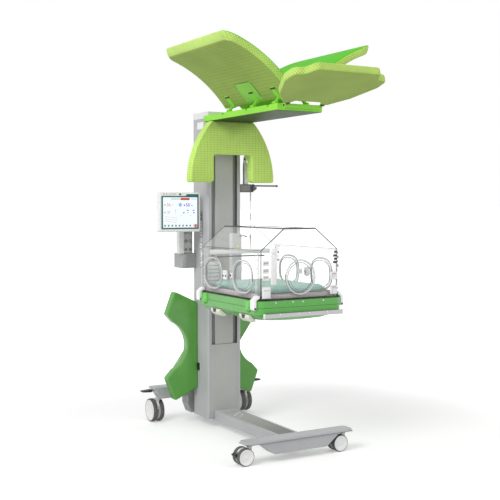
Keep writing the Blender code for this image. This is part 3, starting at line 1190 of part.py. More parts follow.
def petal_profile():
    """The section of a side petal: two arcs about one centre, with a slanted tip."""
    slope = math.radians(PETAL_ROOT_SLOPE)
    centre = (PETAL_ROOT_X + PETAL_INNER_RADIUS * math.sin(slope),
              PETAL_ROOT_Z - PETAL_INNER_RADIUS * math.cos(slope))
    outer_radius = PETAL_INNER_RADIUS + PETAL_THICK
    inner = arc(centre, PETAL_INNER_RADIUS, 90 + PETAL_ROOT_SLOPE, 90 + PETAL_TIP_SLOPE_INNER, 12)
    outer = arc(centre, outer_radius, 90 + PETAL_TIP_SLOPE_OUTER, 90 + PETAL_ROOT_SLOPE, 12)
    corners = [(*inner[0], 0.010)] + [(x, z, 0.0) for x, z in inner[1:-1]] + [(*inner[-1], 0.010)]
    corners += [(*outer[0], 0.014)] + [(x, z, 0.0) for x, z in outer[1:-1]] + [(*outer[-1], 0.014)]
    return rounded(corners, 3), centre


def build_side_petal(name, side):
    """A curved padded petal beside the bridge, with the hinge arms inside it."""
    outline = petal_profile()[0]
    petal = prism(name, [(side * x, z) for x, z in outline], "Y", PETAL_FRONT, PETAL_REAR,
                  LIME_FOAM)
    soften(petal, 0.006, 2, 60)
    tip = petal_arm_tip()
    for y in PETAL_HINGES:
        arm = eye_arm((side * PETAL_AXIS_X, PETAL_AXIS_Z), (side * tip[0], tip[1]), y,
                      HINGE_ARM_WIDTH, LIME_FOAM)
        fuse(petal, arm)
        cut(petal, rod("bore", (side * PETAL_AXIS_X, 0.0, PETAL_AXIS_Z), "Y",
                       PETAL_PIN_RADIUS + PIN_PLAY, y - 0.012, y + 0.012, steps=14))
    hang(pivot(name + "_axis", (side * PETAL_AXIS_X, 0.0, PETAL_AXIS_Z)), petal)


def build_front_petal():
    """The petal over the foot of the bed: it flares to shoulders and ends in a tongue."""
    half = [(FRONT_ROOT_HALF, FRONT_ROOT_SETBACK, 0.010), (FRONT_WAIST_HALF, FRONT_WAIST_AT, 0.080),
            (FRONT_FLARE_HALF, FRONT_FLARE_AT, 0.060),
            (FRONT_FLARE_HALF - 0.006, FRONT_SHOULDER_AT, 0.035),
            (FRONT_SHOULDER_HALF, FRONT_SHOULDER_AT + 0.006, 0.022),
            (FRONT_TONGUE_HALF, FRONT_TONGUE_AT, 0.030)]
    bay = [(0.098, FRONT_ROOT_SETBACK, 0.004), (0.080, FRONT_ROOT_SETBACK + 0.030, 0.010)]
    corners = half + [(-x, s, r) for x, s, r in reversed(half)]
    corners += [(-x, s, r) for x, s, r in bay] + list(reversed(bay))
    outline = [(x, -s) for x, s in rounded(corners, 4)]
    petal = prism("petal_front", outline, "Z", 0.0, FRONT_PETAL_THICK, LIME_FOAM)
    soften(petal, 0.006, 2, 60)
    width = HINGE_ARM_WIDTH
    for side in (-1, 1):
        x = side * FRONT_ARM_X
        eye = rod("eye", (x, 0.0, 0.0), "X", HINGE_EYE_RADIUS, x - width / 2, x + width / 2)
        strap = block("strap", (x - width / 2 + 0.001, x + width / 2 - 0.001),
                      (-FRONT_ROOT_SETBACK - 0.030, 0.0),
                      (-0.004, HINGE_EYE_RADIUS - 0.001), LIME_FOAM)
        fuse(petal, strap, eye)
        cut(petal, rod("bore", (x, 0.0, 0.0), "X", PETAL_PIN_RADIUS + PIN_PLAY, x - 0.012,
                       x + 0.012, steps=14))
    tilt = Matrix.Rotation(math.radians(-FRONT_TILT), 4, "X")
    place(petal, Matrix.Translation((0.0, FRONT_AXIS_Y, FRONT_AXIS_Z)) @ tilt)
    hang(pivot("petal_front_axis", (0.0, FRONT_AXIS_Y, FRONT_AXIS_Z)), petal)


def build_monitor():
    """The touch screen on its post, the socket panel and the bracket on the column."""
    left = -COLUMN_HALF - GAP - BRACKET_WIDTH
    block("monitor_bracket", (left, -COLUMN_HALF - GAP),
          (BRACKET_FRONT, BRACKET_FRONT + BRACKET_DEPTH),
          (BRACKET_BOTTOM, BRACKET_TOP), GREY_PAINT, 0.003)
    swivel = pivot("monitor_swivel", (SWIVEL_X, SWIVEL_Y, BRACKET_TOP))
    foot = BRACKET_TOP + GAP
    post = block("monitor_post", (POST_LEFT, POST_RIGHT), (BRACKET_FRONT - 0.010, BRACKET_FRONT + 0.035),
                 (foot, POST_TOP - 0.040), WHITE_PLASTIC, 0.004)
    neck = block("neck", (POST_LEFT, POST_RIGHT), (TILT_Y, BRACKET_FRONT + 0.020),
                 (POST_TOP - 0.060, TILT_Z), WHITE_PLASTIC)
    barrel = rod("barrel", (0.0, TILT_Y, TILT_Z), "X", SCREEN_EYE_RADIUS, POST_LEFT, POST_RIGHT)
    pin = rod("pin", (0.0, TILT_Y, TILT_Z), "X", SCREEN_PIN_RADIUS, POST_LEFT - 0.016,
              POST_RIGHT + 0.016, steps=12)
    fuse(post, neck, barrel, pin)
    sockets = block("socket_panel", (POST_RIGHT + GAP, SOCKETS_RIGHT),
                    (BRACKET_FRONT, BRACKET_FRONT + 0.034), (foot, SOCKETS_TOP), GREY_PAINT, 0.002, 1)
    hang(swivel, post, sockets)
    middle_x = (SCREEN_LEFT + SCREEN_RIGHT) / 2
    middle_z = (SCREEN_BOTTOM + SCREEN_TOP) / 2
    half_x = (SCREEN_RIGHT - SCREEN_LEFT) / 2
    half_z = (SCREEN_TOP - SCREEN_BOTTOM) / 2
    screen = prism("monitor_screen", rounded_box(half_x, half_z, SCREEN_CORNER, (middle_x, middle_z)),
                   "Y", SCREEN_FRONT, SCREEN_FRONT + SCREEN_DEPTH, WHITE_PLASTIC)
    soften(screen, 0.004, 2, 60)
    recess = prism("recess", rounded_box(half_x - 0.013, half_z - 0.018, 0.004,
                   (middle_x, middle_z - 0.002), 2), "Y", SCREEN_FRONT - 0.01, SCREEN_FRONT + 0.0015,
                   WHITE_PLASTIC)
    cut(screen, recess)
    for low, high in ((POST_LEFT - 0.018, POST_LEFT - GAP), (POST_RIGHT + GAP, POST_RIGHT + 0.018)):
        ear = block("ear", (low, high), (SCREEN_FRONT + SCREEN_DEPTH - 0.003, TILT_Y),
                    (TILT_Z - SCREEN_EYE_RADIUS, TILT_Z + SCREEN_EYE_RADIUS), WHITE_PLASTIC)
        knob = rod("knob", (0.0, TILT_Y, TILT_Z), "X", SCREEN_EYE_RADIUS, low, high)
        fuse(screen, ear, knob)
        cut(screen, rod("bore", (0.0, TILT_Y, TILT_Z), "X", SCREEN_PIN_RADIUS + PIN_PLAY,
                        low - 0.004, high + 0.004, steps=14))
    hang(pivot("monitor_tilt", (middle_x, TILT_Y, TILT_Z), swivel), screen)


def build_hook():
    """The bracket right of the column, its bottle, its swinging hook and its drop line."""
    start = COLUMN_HALF + GAP
    step = HOOK_TOP - 0.016
    shape = rounded([(start, HOOK_BOTTOM, 0.003), (HOOK_AXIS_X - 0.020, HOOK_BOTTOM, 0.0),
                     (HOOK_END, step - 0.014, 0.004), (HOOK_END, step, 0.002),
                     (HOOK_AXIS_X - 0.018, step, 0.0), (HOOK_AXIS_X - 0.018, HOOK_TOP, 0.003),
                     (start, HOOK_TOP, 0.003)], 2)
    bracket = prism("hook_bracket", shape, "Y", HOOK_Y - HOOK_HALF_DEPTH, HOOK_Y + HOOK_HALF_DEPTH,
                    DARK_METAL)
    pin = rod("pin", (HOOK_AXIS_X, HOOK_Y, 0.0), "Z", HOOK_ROD_RADIUS, step - 0.002, step + 0.018,
              steps=12)
    fuse(bracket, pin)
    low = step + GAP
    arm = rod("hook_arm", (HOOK_AXIS_X, HOOK_Y, 0.0), "Z", 0.010, low, low + 0.014)
    height = low + 0.007
    thick = HOOK_ROD_RADIUS + 0.0025
    bar = turned("bar", [(0.0, HOOK_AXIS_X + 0.002), (HOOK_ROD_RADIUS, HOOK_AXIS_X + 0.002),
                         (HOOK_ROD_RADIUS, HOOK_REACH - 0.006), (thick, HOOK_REACH - 0.006),
                         (thick, HOOK_REACH), (0.0, HOOK_REACH)], (0.0, HOOK_Y, height), "X",
                 DARK_METAL, 12)
    fuse(arm, bar)
    cut(arm, rod("bore", (HOOK_AXIS_X, HOOK_Y, 0.0), "Z", HOOK_ROD_RADIUS + PIN_PLAY, low - 0.02,
                 low + 0.03, steps=14))
    hang(pivot("hook_axis", (HOOK_AXIS_X, HOOK_Y, height)), arm)

    base = HOOK_TOP + GAP
    r, h = BOTTLE_RADIUS, BOTTLE_HEIGHT
    turned("gas_bottle", [(0.0, base), (r * 0.85, base), (r, base + 0.006), (r, base + h * 0.66),
                          (r * 0.8, base + h * 0.72), (r * 0.45, base + h * 0.78),
                          (r * 0.45, base + h * 0.84), (r * 0.75, base + h * 0.86),
                          (r * 0.75, base + h * 0.96), (r * 0.4, base + h), (0.0, base + h)],
           (BOTTLE_X, HOOK_Y, 0.0), "Z", WHITE_PLASTIC, 18)

    curve = bpy.data.curves.new("drop_line", "CURVE")
    curve.dimensions = "3D"
    curve.bevel_depth = DROP_RADIUS
    curve.bevel_resolution = 2
    curve.use_fill_caps = True
    spline = curve.splines.new("POLY")
    count = 12
    spline.points.add(count - 1)
    top = HOOK_BOTTOM - GAP
    for i in range(count):
        spline.points[i].co = (DROP_X, HOOK_Y, top + (DROP_END - top) * i / (count - 1), 1.0)
    line = bpy.data.objects.new("drop_line", curve)
    bpy.context.collection.objects.link(line)
    material = bpy.data.materials.new("drop_line")
    material.use_nodes = True
    material.node_tree.nodes["Principled BSDF"].inputs["Base Color"].default_value = (0.6, 0.6, 0.6, 1)
    curve.materials.append(material)
    end = DROP_END - GAP
    turned("drop_weight", [(0.0, end), (WEIGHT_RADIUS * 0.8, end), (WEIGHT_RADIUS, end - 0.006),
                           (WEIGHT_RADIUS, end - 0.022), (WEIGHT_RADIUS * 0.75, end - 0.030),
                           (WEIGHT_RADIUS * 0.4, end - WEIGHT_LENGTH * 0.75),
                           (WEIGHT_RADIUS * 0.2, end - WEIGHT_LENGTH), (0.0, end - WEIGHT_LENGTH)],
           (DROP_X, HOOK_Y, 0.0), "Z", DARK_METAL, 12)


clear_scene()
build_base()
build_column()
build_wings()
build_casters()
bed_lift = pivot("bed_lift", (0.0, COLUMN_FRONT, CRADLE_TOP))
build_carriage(bed_lift)
build_bed(bed_lift)
build_tilt_handles(bed_lift)
build_hood(bed_lift)
build_bridge()
build_arch()
build_side_petal("petal_left", -1)
build_side_petal("petal_right", 1)
build_front_petal()
build_monitor()
build_hook()
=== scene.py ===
"""An infant incubator: a heated bed under a clear hood, on a wheeled lifting column.

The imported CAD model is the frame. Each section dresses or replaces some of its nodes.
"""
import math

import bpy
from mathutils import Matrix, Vector


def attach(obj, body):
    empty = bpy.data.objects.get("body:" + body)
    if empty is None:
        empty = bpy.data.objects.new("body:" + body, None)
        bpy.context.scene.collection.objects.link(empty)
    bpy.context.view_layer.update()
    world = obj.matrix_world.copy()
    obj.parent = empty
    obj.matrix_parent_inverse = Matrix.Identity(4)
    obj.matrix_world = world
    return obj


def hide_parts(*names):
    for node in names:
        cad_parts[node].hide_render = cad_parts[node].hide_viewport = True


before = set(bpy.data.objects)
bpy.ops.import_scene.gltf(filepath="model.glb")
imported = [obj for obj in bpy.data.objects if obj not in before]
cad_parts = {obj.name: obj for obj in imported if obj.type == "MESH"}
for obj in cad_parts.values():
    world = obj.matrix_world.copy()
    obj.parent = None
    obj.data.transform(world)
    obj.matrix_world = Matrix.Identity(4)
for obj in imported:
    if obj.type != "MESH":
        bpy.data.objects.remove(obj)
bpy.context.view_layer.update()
bpy.context.tool_settings.mesh_select_mode = (False, False, True)

# The camera stands in front of the bed's foot end and to its left, at chest height.
# It looks slightly down, and its lens shows the whole incubator.
bpy.ops.object.camera_add(location=(-2.78, -4.684, 1.38),
                          rotation=(math.radians(87.23), 0.0, math.radians(-30)))
camera = bpy.context.object
camera.data.sensor_width = 36.0
camera.data.lens = 68.04
bpy.context.scene.camera = camera

# The drop line: a thin stiff cable in PVC that hangs from the bracket at the column's right.
# A grey sleeve holds it at the top, a coupling sits half way, and a turned metal end weighs it.
LINE_X, LINE_Y, LINE_TOP, LINE_END = 0.2026, 0.476, 1.4547, 1.190
LINE_RADIUS, LINE_SPANS = 0.0015, 15


def shade(colour, factor=1.0):
    """A colour as a screen shows it, 0 to 255, in linear light, made darker or lighter."""
    levels = [level / 255 for level in colour]
    linear = [p / 12.92 if p <= 0.04045 else ((p + 0.055) / 1.055) ** 2.4 for p in levels]
    return tuple(min(1.0, part * factor) for part in linear)


class Value:
    """The output of a shader node, which can be used in sums as a number can."""

    def __init__(self, finish, socket):
        self.finish = finish
        self.socket = socket

    def maths(self, operation, *others):
        """One Math node on this value and others."""
        return self.finish.node("Math", {"operation": operation}, (self, *others))

    def __add__(self, other):
        return self.maths("ADD", other)

    __radd__ = __add__

    def __sub__(self, other):
        return self.maths("SUBTRACT", other)

    def __rsub__(self, other):
        return self.finish.node("Math", {"operation": "SUBTRACT"}, (other, self))

    def __mul__(self, other):
        return self.maths("MULTIPLY", other)

    __rmul__ = __mul__

    def __truediv__(self, other):
        return self.maths("DIVIDE", other)

    def __or__(self, other):
        return self.maths("MAXIMUM", other)


class Finish:
    """The finish of a surface: a material's shader and the nodes that feed it."""

    def __init__(self, name, owner=None, shader="Principled BSDF"):
        self.owner = owner or bpy.data.materials.new(name)
        self.owner.use_nodes = True
        self.tree = self.owner.node_tree
        self.shader = self.tree.nodes[shader]
        self.place = self.node("TexCoord", out="Object")
        self.cloth = self.node("TexCoord", out="UV")

    def feed(self, socket, value):
        """Link a value to a socket, or write a number or colour in it."""
        if isinstance(value, Value):
            self.tree.links.new(value.socket, socket)
        elif socket.type == "RGBA":
            socket.default_value = (*value[:3], 1.0)
        else:
            socket.default_value = value

    def node(self, kind, settings=(), inputs=(), out=0):
        """Add a node of a type, with its settings and then its inputs, and give an output."""
        made = self.tree.nodes.new("ShaderNode" + kind)
        for key, value in dict(settings).items():
            setattr(made, key, value)
        for key, value in inputs.items() if isinstance(inputs, dict) else enumerate(inputs):
            self.feed(made.inputs[key], value)
        return Value(self, made.outputs[out])

    def axes(self, vector):
        """The three parts of a vector."""
        split = self.node("SeparateXYZ", (), (vector,))
        return [Value(self, socket) for socket in split.socket.node.outputs]

    def noise(self, scale, detail=2.0, where=None):
        """Soft cloudy noise around a half."""
        return self.node("TexNoise", (), {"Vector": where or self.place, "Scale": scale,
                                          "Detail": detail})

    def ramp(self, value, low, high, start=0.0, end=1.0):
        """A smooth step from start to end as a value goes from low to high."""
        return self.node("MapRange", {"interpolation_type": "SMOOTHSTEP"},
                         (value, low, high, start, end))

    def blend(self, factor, first, second):
        """A mix of two colours."""
        return self.node("Mix", {"data_type": "RGBA"}, {0: factor, 6: first, 7: second}, out=2)

    def clouded(self, factor, colour, low, high):
        """A mix of a darker and a lighter tone of one colour."""
        return self.blend(factor, shade(colour, low), shade(colour, high))

    def lines(self, value, pitch, width):
        """1 on thin lines a pitch apart, and 0 between them."""
        phase = (value / pitch).maths("FRACT")
        return self.ramp((phase - 0.5).maths("ABSOLUTE"), 0.5 - width / pitch, 0.5)

    def relief(self, height, depth, strength):
        """Raise the surface by a height, in metres."""
        bump = self.node("Bump", (), {"Height": height, "Distance": depth, "Strength": strength})
        self.feed(self.shader.inputs["Normal"], bump)

    def mixed(self, **values):
        """Feed the shader's sockets, named with underscores, and give the material."""
        for key, value in values.items():
            self.feed(self.shader.inputs[key.replace("_", " ")], value)
        return self.owner


def moulded(name, colour, rough=0.35, grain=1400.0, depth=0.25, mottle=0.03):
    """Moulded plastic: a fine spark-eroded grain and slight clouds in colour and gloss."""
    f = Finish(name)
    clouds = f.ramp(f.noise(9.0), 0.35, 0.65)
    speck = f.node("TexVoronoi", (), {"Vector": f.place, "Scale": grain * 0.6})
    f.relief(f.noise(grain, 1.0) * 0.7 + speck * 0.3, 0.00015, depth)
    return f.mixed(Base_Color=f.clouded(clouds, colour, 1 - mottle, 1 + mottle),
                   Roughness=f.ramp(f.noise(40.0), 0.3, 0.7, rough - 0.04, rough + 0.05))


def brushed(name, colour, rough, along=(1.0, 40.0, 40.0)):
    """Brushed metal whose scratches run along one axis."""
    f = Finish(name)
    stretched = f.node("VectorMath", {"operation": "MULTIPLY"}, (f.place, along))
    streak = f.noise(30.0, 3.0, stretched)
    f.relief(streak, 0.0001, 0.3)
    return f.mixed(Base_Color=f.clouded(f.ramp(streak, 0.3, 0.7), colour, 0.9, 1.08),
                   Metallic=1.0, Roughness=f.ramp(streak, 0.3, 0.7, rough - 0.06, rough + 0.1))


def begun(name, primitive, **sizes):
    """Start a piece from a primitive, with nothing else selected."""
    bpy.ops.object.select_all(action="DESELECT")
    primitive(**sizes)
    bpy.context.object.name = name
    return bpy.context.object


def smoothed(angle):
    """Shade the selected pieces smooth, except at edges sharper than an angle."""
    bpy.ops.object.shade_smooth_by_angle(angle=math.radians(angle))


def pipe(name, points, radius, material, closed=False, as_curve=False):
    """A round bar or cable: a path with a bevel, made a mesh unless it stays a curve."""
    piece = begun(name, bpy.ops.curve.primitive_nurbs_path_add)
    curve = piece.data
    curve.splines.clear()
    spline = curve.splines.new("POLY")
    spline.points.add(len(points) - 1)
    for spot, point in zip(spline.points, points):
        spot.co = (*point, 1.0)
    spline.use_cyclic_u = closed
    curve.bevel_depth = radius
    curve.bevel_resolution = 3
    curve.use_fill_caps = not closed
    curve.materials.append(material)
    if not as_curve:
        bpy.ops.object.convert(target="MESH")
        smoothed(50)
    return piece


def closed_up(piece, materials):
    """Turn the faces of a new solid outward, and give it its finishes."""
    bpy.ops.mesh.select_all(action="SELECT")
    bpy.ops.mesh.normals_make_consistent(inside=False)
    bpy.ops.object.mode_set(mode="OBJECT")
    for material in materials:
        piece.data.materials.append(material)


STANDING = {"X": Matrix.Rotation(math.radians(90), 4, "Y"),
            "Y": Matrix.Rotation(math.radians(-90), 4, "X"), "Z": Matrix.Identity(4)}


def turned(name, profile, place, axis, *materials, steps=32, zone=None):
    """A turned piece: a disc extruded and resized along a profile of (radius, distance)."""
    radius, distance = profile[0]
    piece = begun(name, bpy.ops.mesh.primitive_circle_add, vertices=steps, radius=radius,
                  fill_type="NGON", location=(0.0, 0.0, distance))
    bpy.ops.object.transform_apply()
    bpy.ops.object.mode_set(mode="EDIT")
    for wide, far in profile[1:]:
        bpy.ops.mesh.extrude_region_move(TRANSFORM_OT_translate={"value": (0, 0, far - distance)})
        bpy.ops.transform.resize(value=(wide / radius, wide / radius, 1.0),
                                 center_override=(0.0, 0.0, 0.0))
        radius, distance = wide, far
    closed_up(piece, materials)
    for face in piece.data.polygons if zone else ():
        face.material_index = zone(Vector(face.center[:2]).length)
    piece.matrix_world = Matrix.Translation(place) @ STANDING[axis]
    bpy.ops.object.transform_apply()
    smoothed(40)
    return piece


def dressed(material, *names):
    """Give CAD nodes a finish."""
    for name in names:
        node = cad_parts[name]
        if not node.material_slots:
            node.data.materials.append(material)
        for slot in node.material_slots:
            slot.material = material


def fitted(piece, body, node=None):
    """Fix a piece to a body, and let it stand for a CAD node if one is named."""
    if node:
        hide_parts(node)
    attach(piece, body)


cable_white = moulded("cable_white", (228, 228, 228), 0.5)
sleeve_grey = moulded("sleeve_grey", (190, 190, 190), 0.5)
line = pipe("hanging_line",
            [(LINE_X, LINE_Y, LINE_TOP + (LINE_END - LINE_TOP) * i / LINE_SPANS)
             for i in range(LINE_SPANS + 1)], LINE_RADIUS, cable_white, as_curve=True)
fitted(line, "stand", "drop_line")
sleeve = turned("line_sleeve", [(0.002, 1.454), (0.0032, 1.4535), (0.0036, 1.448),
                                (0.0032, 1.404), (0.0018, 1.399)], (LINE_X, LINE_Y, 0), "Z",
                sleeve_grey, steps=24)
coupling = turned("line_coupling", [(0.002, 1.332), (0.0026, 1.318), (0.0044, 1.315),
                                    (0.0044, 1.303), (0.0024, 1.300), (0.004, 1.298),
                                    (0.004, 1.286), (0.002, 1.281)], (LINE_X, LINE_Y, 0), "Z",
                  sleeve_grey, steps=24)
for piece in (sleeve, coupling):
    fitted(piece, "stand")
dressed(brushed("weight_metal", (150, 150, 152), 0.35, (40.0, 40.0, 1.0)), "drop_weight")

# The base: an H of cast aluminium bars, powder-coated in satin silver. A shallow recess runs
# along the long beam, with small white sockets pressed in near the column.
SIDES = (("left", -1), ("right", 1))


def powder_coat(name, colour, rough, mottle=0.05, low=None, dark=None):
    """Powder coat on metal: fine orange peel and faint patches, with painted shade towards one
    end.
    """
    f = Finish(name)
    patches = f.noise(5.0, 3.0)
    tone = f.ramp(patches * 0.7 + f.noise(260.0, 1.0) * 0.3, 0.35, 0.65)
    base = f.clouded(tone, colour, 1 - mottle, 1 + mottle)
    # Painted shade: along y the colour darkens to a shade colour between the two places given in
    # low.
    if dark:
        base = f.blend(f.ramp(f.axes(f.place)[1], *low), base, shade(dark))
    f.relief(f.noise(900.0), 0.0002, 0.35)
    return f.mixed(Base_Color=base, Specular_IOR_Level=0.4,
                   Roughness=f.ramp(patches, 0.3, 0.7, rough - 0.05, rough + 0.06))


def taken_up(*pieces):
    """Select only these pieces, and make the first of them active."""
    bpy.ops.object.select_all(action="DESELECT")
    for piece in pieces:
        piece.select_set(True)
    bpy.context.view_layer.objects.active = pieces[0]


def worked(piece, kind, **settings):
    """Apply one modifier to a piece."""
    taken_up(piece)
    modifier = piece.modifiers.new("work", kind)
    for key, value in settings.items():
        setattr(modifier, key, value)
    bpy.ops.object.modifier_apply(modifier=modifier.name)


def rounded_edges(piece, width, segments=3):
    """Bevel a piece's sharp edges."""
    worked(piece, "BEVEL", width=width, segments=segments, angle_limit=math.radians(35))
    smoothed(50)
    return piece


def block(name, low, high, material, edge=0.001, segments=2):
    """A cube stretched between two corners, its edges bevelled."""
    low, high = Vector(low), Vector(high)
    piece = begun(name, bpy.ops.mesh.primitive_cube_add, size=1.0, location=(low + high) / 2)
    piece.scale = high - low
    bpy.ops.object.transform_apply()
    bpy.ops.object.mode_set(mode="EDIT")
    bpy.ops.mesh.select_all(action="SELECT")
    bpy.ops.mesh.bevel(offset=edge, segments=segments, affect="EDGES")
    bpy.ops.object.mode_set(mode="OBJECT")
    smoothed(50)
    piece.data.materials.append(material)
    return piece


def arc(centre, radius, start, end, steps):
    """Points along an arc, with its angles in degrees."""
    angles = [math.radians(start + (end - start) * i / steps) for i in range(steps + 1)]
    return [(centre[0] + radius * math.cos(a), centre[1] + radius * math.sin(a)) for a in angles]


def round_box(half_u, half_v, radius, centre, steps):
    """A rectangle with round corners."""
    points = []
    for su, sv, start in ((1, 1, 0), (-1, 1, 90), (-1, -1, 180), (1, -1, 270)):
        corner = (centre[0] + su * (half_u - radius), centre[1] + sv * (half_v - radius))
        points += arc(corner, radius, start, start + 90, steps)
    return points


PLANES = {"X": (1, 2, 0), "Y": (0, 2, 1), "Z": (0, 1, 2)}


def board(name, outline, axis, low, high, *materials, edge=0.0, segments=2):
    """A flat board: a disc drawn out to an outline, then extruded along an axis."""
    u, v, w = PLANES[axis]
    piece = begun(name, bpy.ops.mesh.primitive_circle_add, vertices=len(outline),
                  fill_type="NGON")
    for vertex, (a, b) in zip(piece.data.vertices, outline):
        vertex.co[u], vertex.co[v], vertex.co[w] = a, b, low
    depth = Vector((0.0, 0.0, 0.0))
    depth[w] = high - low
    bpy.ops.object.mode_set(mode="EDIT")
    bpy.ops.mesh.select_all(action="SELECT")
    bpy.ops.mesh.extrude_region_move(TRANSFORM_OT_translate={"value": depth})
    closed_up(piece, materials)
    if edge:
        return rounded_edges(piece, edge, segments)
    smoothed(35)
    return piece


def copied(piece, name, shift):
    """A copy with its own mesh, moved by a shift."""
    twin = piece.copy()
    twin.data = piece.data.copy()
    twin.name = name
    twin.data.transform(Matrix.Translation(shift))
    bpy.context.collection.objects.link(twin)
    return twin


def spread_out(piece, shifts):
    """Copies of a piece, each moved by a shift, in place of the piece itself."""
    twins = [copied(piece, "copy", shift) for shift in shifts]
    bpy.data.objects.remove(piece, do_unlink=True)
    return twins


def joined(name, *parts):
    """Several parts made one piece, each keeping its finish."""
    taken_up(*parts)
    bpy.ops.object.join()
    parts[0].name = name
    return parts[0]


silver_coat = powder_coat("silver_coat", (184, 184, 187), 0.4)
shadow_coat = powder_coat("shadow_coat", (84, 84, 82), 0.6)
white_gloss = moulded("white_gloss", (240, 240, 240), 0.28, 1200.0, 0.12, 0.01)
dressed(silver_coat, "base_beam", "rear_crossbar", "front_crossbar", "column_mast")
# The recess floor is painted shade, darker towards the beam's front end.
recess_shaded_coat = powder_coat("recess_shaded_coat", (176, 175, 173), 0.55, 0.04, (0.24, -0.29),
                          (128, 127, 125))
fitted(board("beam_recess", round_box(0.0545, 0.345, 0.006, (0.0, 0.010), 4), "Z", 0.1042,
             0.1052, recess_shaded_coat), "stand")
CROSS = [(0.003, 0.0075), (0.003, 0.003), (0.0105, 0.003), (0.0105, -0.003), (0.003, -0.003),
         (0.003, -0.0075)]
SOCKET_PLACES = ((-0.030, 0.260), (-0.004, 0.285), (-0.012, 0.222), (0.026, 0.312),
                 (0.020, 0.258))
cross = board("beam_socket", CROSS + [(-x, y) for x, y in reversed(CROSS)], "Z", 0.1053, 0.1080,
              white_gloss, edge=0.0008)
sockets = spread_out(cross, [(x, y, 0.0) for x, y in SOCKET_PLACES])
fitted(joined("beam_sockets", *sockets), "stand")
# A thin sheet of painted shadow lies across the top of the front crossbar.
fitted(block("crossbar_shadow", (-0.343, -0.4342, 0.1108), (0.343, -0.3388, 0.1114), shadow_coat,
             0.0002, 1), "stand")
BAR_END = [(0.300, 0.2284), (0.352, 0.2284), (0.3605, 0.2262), (0.3625, 0.2180),
           (0.356, 0.2130), (0.300, 0.2238)]
for name, side in SIDES:
    fitted(board("rear_bar_end_" + name, [(side * x, z) for x, z in BAR_END], "Y", 0.708, 0.794,
                 silver_coat, edge=0.003), "stand")

# The twin-wheel casters: white moulded discs in grey rubber tyres, with a guard over each pair.
# The front forks are grey below and white above, and a black pedal locks each caster.
WHEEL_HALF, WHEEL_GAP, TYRE_SHARE = 0.0375, 0.008, 0.898
GUARD_HALF, GUARD_ARC, GUARD_WALL = 0.0072, 160, 0.86
tyre = Finish("tyre_rubber")
bloom = tyre.noise(60.0, 3.0)
tyre.relief(tyre.noise(1500.0), 0.0002, 0.4)
tyre_rubber = tyre.mixed(
    Base_Color=tyre.blend(tyre.ramp(bloom, 0.35, 0.7), shade((84, 84, 83)),
                          shade((108, 108, 106))),
    Roughness=tyre.ramp(bloom, 0.3, 0.7, 0.55, 0.75))
fork = Finish("fork_shell")
fork.relief(fork.noise(1400.0, 1.0), 0.00015, 0.3)
fork_shell = fork.mixed(
    Base_Color=fork.blend(fork.ramp(fork.axes(fork.place)[2], 0.070, 0.084),
                          shade((118, 118, 116)), shade((238, 238, 238))), Roughness=0.4)
white_matte = moulded("white_matte", (230, 230, 230), 0.5, 1600.0, 0.3, 0.02)
panel_grey = moulded("panel_grey", (166, 166, 164), 0.5)
black_plastic = moulded("black_plastic", (26, 26, 26), 0.42)
# Of each caster: where its stem stands, the wheels' radius and trail, the axle's direction,
# the top of the swivel, where the guard's arc starts, and the finish of its shell.
FRONT_CASTER = (-0.3865, 0.048, 0.036, "Y", 0.1107, 30, fork_shell)
REAR_CASTER = (0.751, 0.073, 0.040, "X", 0.1547, -10, white_matte)
CASTERS = {"front_left": (-0.303, *FRONT_CASTER), "front_right": (0.303, *FRONT_CASTER),
           "rear_left": (-0.320, *REAR_CASTER), "rear_right": (0.320, *REAR_CASTER)}


def wheel_pair(name, hub, r, axis):
    """Two wheels of a radius on one axle, each a dished disc in a rounded tyre."""
    half, gap = WHEEL_HALF, WHEEL_GAP
    face = [(0.001, half - 0.0035), (0.10 * r, half - 0.003), (0.17 * r, half - 0.0045),
            (0.30 * r, half - 0.0052), (0.62 * r, half - 0.004), (0.70 * r, half - 0.0015),
            (0.84 * r, half), (0.885 * r, half - 0.0004), (0.895 * r, half - 0.0022),
            (0.905 * r, half - 0.0012), (0.955 * r, half - 0.0012), (0.985 * r, half - 0.0035),
            (r, half - 0.0085), (r, gap + 0.007), (0.985 * r, gap + 0.0025),
            (0.915 * r, gap + 0.0008), (0.60 * r, gap + 0.0005), (0.0052, gap)]
    return turned(name, face + [(wide, -far) for wide, far in reversed(face)], hub, axis,
                  white_gloss, tyre_rubber, steps=64,
                  zone=lambda wide: int(wide > TYRE_SHARE * r))


for corner, (x, y, radius, trail, axis, top, start, shell) in CASTERS.items():
    front = axis == "Y"
    hub = Vector((x - trail, y, radius) if front else (x, y + trail, radius))
    fitted(wheel_pair("wheels_" + corner, hub, radius, axis), "wheels_" + corner,
           "caster_wheels_" + corner)
    dressed(shell, "caster_fork_" + corner)
    dressed(black_plastic, "brake_pedal_" + corner)
    fitted(turned("swivel_ring_" + corner, [(0.0200, top - 0.0012), (0.0216, top - 0.0020),
                                            (0.0216, top - 0.0070), (0.0200, top - 0.0078)],
                  (x, y, 0), "Z", panel_grey, steps=40), "caster_" + corner)
    sweep = arc((0.0, 0.0), radius - 0.0022, start, start + GUARD_ARC, 20)
    outline = sweep + [(u * GUARD_WALL, v * GUARD_WALL) for u, v in reversed(sweep)]
    ahead, beside = (hub.x, hub.y) if front else (hub.y, hub.x)
    fitted(board("wheel_guard_" + corner, [(ahead + u, hub.z + v) for u, v in outline], axis,
                 beside - GUARD_HALF, beside + GUARD_HALF, shell, edge=0.0012),
           "caster_" + corner)

# The column: an extruded aluminium mast with two long slots, closed by grey sheet panels.
# A strip of sockets, a bare white plate and a rocker switch are screwed to its left face.
LEFT_FACE = -0.1150
